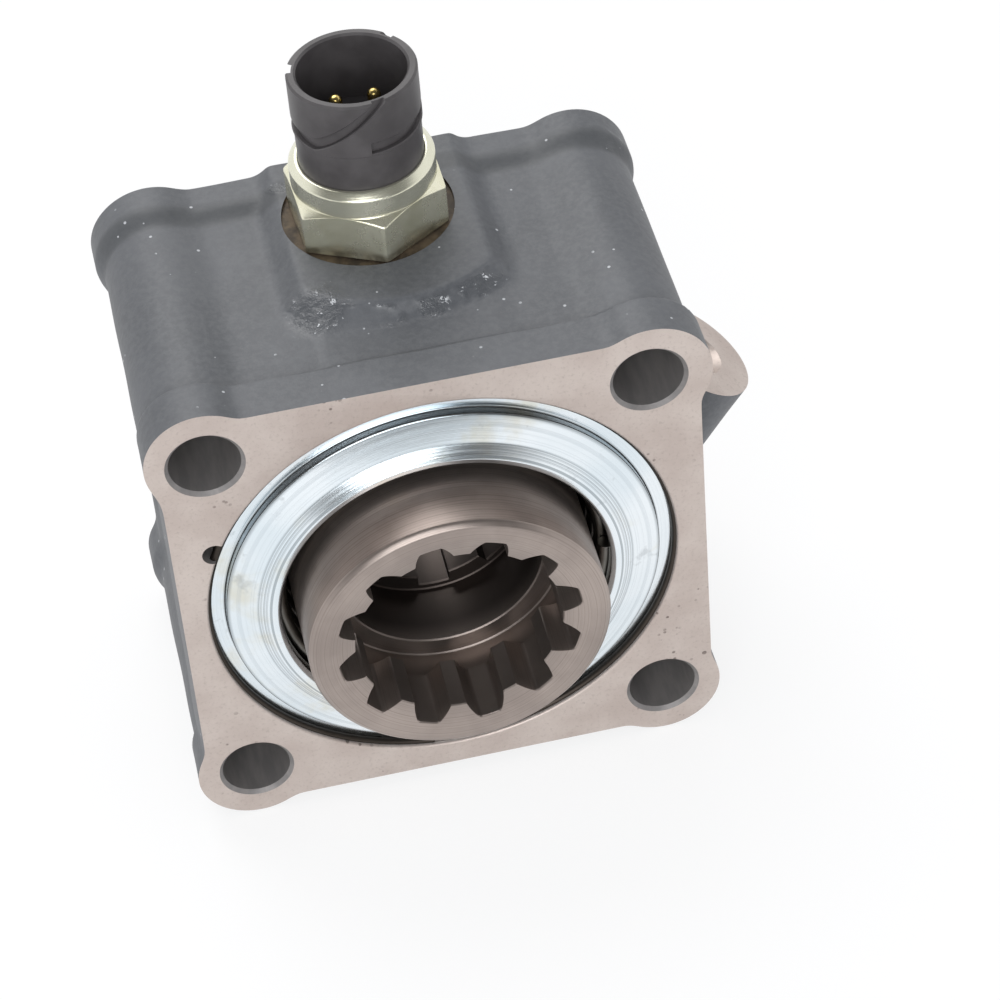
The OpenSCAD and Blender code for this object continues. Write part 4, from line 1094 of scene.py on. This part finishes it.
def groove_cutter(name, start):
    """A groove's cutter: a swept section that flares at the surface, so that the groove's edges are eased."""
    half, ease = GROOVE_W / 2, 0.22
    section = [(-GROOVE_DEPTH, -half), (-ease, -half), (1.0, -half - 1.0 - ease), (1.0, half + 1.0 + ease),
               (-ease, half), (-GROOVE_DEPTH, half)]
    points, faces, steps = [], [], 72
    for k in range(steps + 1):
        a, height = math.radians(start + GROOVE_SWEEP * k / steps), groove_height(k / steps)
        points += [((PLUG_R + r) * math.cos(a) + SWITCH_X, (PLUG_R + r) * math.sin(a) + SWITCH_Y, height + h)
                   for r, h in section]
    n = len(section)
    for k in range(steps):
        faces += [(k * n + i, k * n + (i + 1) % n, (k + 1) * n + (i + 1) % n, (k + 1) * n + i) for i in range(n)]
    faces += [tuple(range(n)), tuple(steps * n + i for i in range(n))]
    return mesh_object(name, points, faces, PLASTIC)


plug_outline = [(0, 60.2), (NECK_R, 60.2), (NECK_R, NECK_Z), (PLUG_R, NECK_Z + 0.3), (PLUG_R, MOUTH_Z - 0.4),
                (PLUG_R - 0.4, MOUTH_Z), (MOUTH_R + 0.4, MOUTH_Z), (MOUTH_R, MOUTH_Z - 0.4), (MOUTH_R, FLOOR_IN_Z),
                (0, FLOOR_IN_Z)]
at_switch = placed((SWITCH_X, SWITCH_Y, 0), (1, 0, 0), (0, 1, 0), (0, 0, 1))
connector = plug("plug_connector", plug_outline, PLASTIC, at_switch, 144)
connector = machine(connector, [groove_cutter(f"groove_cut_{k}", GROOVE_START + k * 360 / GROOVES)
                                for k in range(GROOVES)])
crisp(connector, 30)
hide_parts("switch_connector")
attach(connector, "housing")
print("connector:", len(connector.data.polygons), "faces")

# %% [markdown]
# ## Parts that keep their CAD shape
# The rings, races, seals and the piston are plain turned parts, and their CAD solids are already exact. They
# need no second model, only their finish, which goes into the slot that the node already has.

# %% Finishes on the CAD nodes
node_finish = {
    "retainer_snap_ring": BLACKENED, "spring_plate": BLACKENED, "bearing_clip": BLACKENED, "sleeve_clip": BLACKENED,
    "piston": ALLOY, "piston_outer_seal": RUBBER, "piston_inner_seal": RUBBER, "bearing_outer_race": RACE,
    "bearing_inner_race": RACE, "bearing_cage": CAGE, "switch_washer": COPPER, "switch_plunger": RACE,
    "switch_spring": SPRING, "switch_pins": PIN,
}
for node, finish in node_finish.items():
    for slot in frame["nodes"][node].material_slots:
        slot.material = finish
print("dressed", len(node_finish), "CAD nodes")

# %% [markdown]
# ## Floor and light
# The photograph has an overexposed white table and hardly any shadow. A pale floor, a white world that only
# the camera and mirror-like surfaces see at full strength, and two large soft lamps give that look without
# burning out the metal.

# %% Floor and lamps
FLOOR_Z = -51.9


def make_floor():
    f = Finish("floor_white", rough=0.75)
    f.colour(srgb(245, 245, 246))
    glow = f.node("ShaderNodeEmission", Color=(1, 1, 1, 1), Strength=1.0)
    rays = f.node("ShaderNodeLightPath").outputs
    mirrored = f.math("MAXIMUM", rays["Is Glossy Ray"], rays["Is Transmission Ray"])
    blend = f.node("ShaderNodeMixShader")
    f.put(blend.inputs[0], f.math("MULTIPLY", f.math("MAXIMUM", rays["Is Camera Ray"], mirrored), 0.8))
    f.tree.links.new(f.shader.outputs[0], blend.inputs[1])
    f.tree.links.new(glow.outputs[0], blend.inputs[2])
    f.tree.links.new(blend.outputs[0], f.tree.nodes["Material Output"].inputs["Surface"])
    floor = mesh_object("floor", [(-600, -600, FLOOR_Z), (600, -600, FLOOR_Z), (600, 600, FLOOR_Z),
                                  (-600, 600, FLOOR_Z)], [(0, 1, 2, 3)], f.material)
    return floor


def make_world():
    """White walls and a duller ceiling. The camera sees plain white all round."""
    world = bpy.data.worlds.new("room")
    bpy.context.scene.world = world
    world.use_nodes = True
    nodes, links = world.node_tree.nodes, world.node_tree.links
    light, white = nodes["Background"], nodes.new("ShaderNodeBackground")
    light.inputs[0].default_value = (0.95, 0.97, 1.0, 1)
    light.inputs[1].default_value = 0.65
    white.inputs[0].default_value = (1, 1, 1, 1)
    path = nodes.new("ShaderNodeLightPath")
    mirrored = nodes.new("ShaderNodeMath")
    mirrored.operation = "MAXIMUM"
    links.new(path.outputs["Is Glossy Ray"], mirrored.inputs[0])
    links.new(path.outputs["Is Transmission Ray"], mirrored.inputs[1])
    ceiling = nodes.new("ShaderNodeVectorMath")
    ceiling.operation = "DOT_PRODUCT"
    links.new(nodes.new("ShaderNodeTexCoord").outputs["Generated"], ceiling.inputs[0])
    ceiling.inputs[1].default_value = (-0.1, -0.6, 0.794)
    dull = nodes.new("ShaderNodeMapRange")
    links.new(ceiling.outputs["Value"], dull.inputs[0])
    for socket, value in zip(dull.inputs[1:5], (0.38, 0.62, 1.0, 0.12)):
        socket.default_value = value
    shown = nodes.new("ShaderNodeMath")
    shown.operation = "MAXIMUM"
    links.new(dull.outputs[0], shown.inputs[0])
    links.new(path.outputs["Is Camera Ray"], shown.inputs[1])
    links.new(shown.outputs[0], white.inputs[1])
    seen = nodes.new("ShaderNodeMath")
    seen.operation = "MAXIMUM"
    links.new(mirrored.outputs[0], seen.inputs[0])
    links.new(path.outputs["Is Camera Ray"], seen.inputs[1])
    mixer = nodes.new("ShaderNodeMixShader")
    links.new(seen.outputs[0], mixer.inputs[0])
    links.new(light.outputs[0], mixer.inputs[1])
    links.new(white.outputs[0], mixer.inputs[2])
    links.new(mixer.outputs[0], nodes["World Output"].inputs[0])


def make_lamp(name, place, aim, size, watts, colour=(1, 1, 1)):
    data = bpy.data.lights.new(name, "AREA")
    data.shape = "DISK"
    data.size = size
    data.energy = watts
    data.color = colour
    lamp = bpy.data.objects.new(name, data)
    lamp.location = Vector(place)
    lamp.rotation_euler = (Vector(aim) - Vector(place)).to_track_quat("-Z", "Y").to_euler()
    bpy.context.scene.collection.objects.link(lamp)
    return lamp


make_floor()
make_world()
lamps = [
    make_lamp("key", (-0.15, 0.65, 0.95), (0, 0.02, 0), 0.9, 6.5, (1.0, 0.99, 0.98)),
    make_lamp("fill", (-0.2, -0.95, 0.5), (0, 0.02, 0), 0.9, 8.0, (0.98, 0.99, 1.0)),
]
print("lamps:", [lamp.name for lamp in lamps])
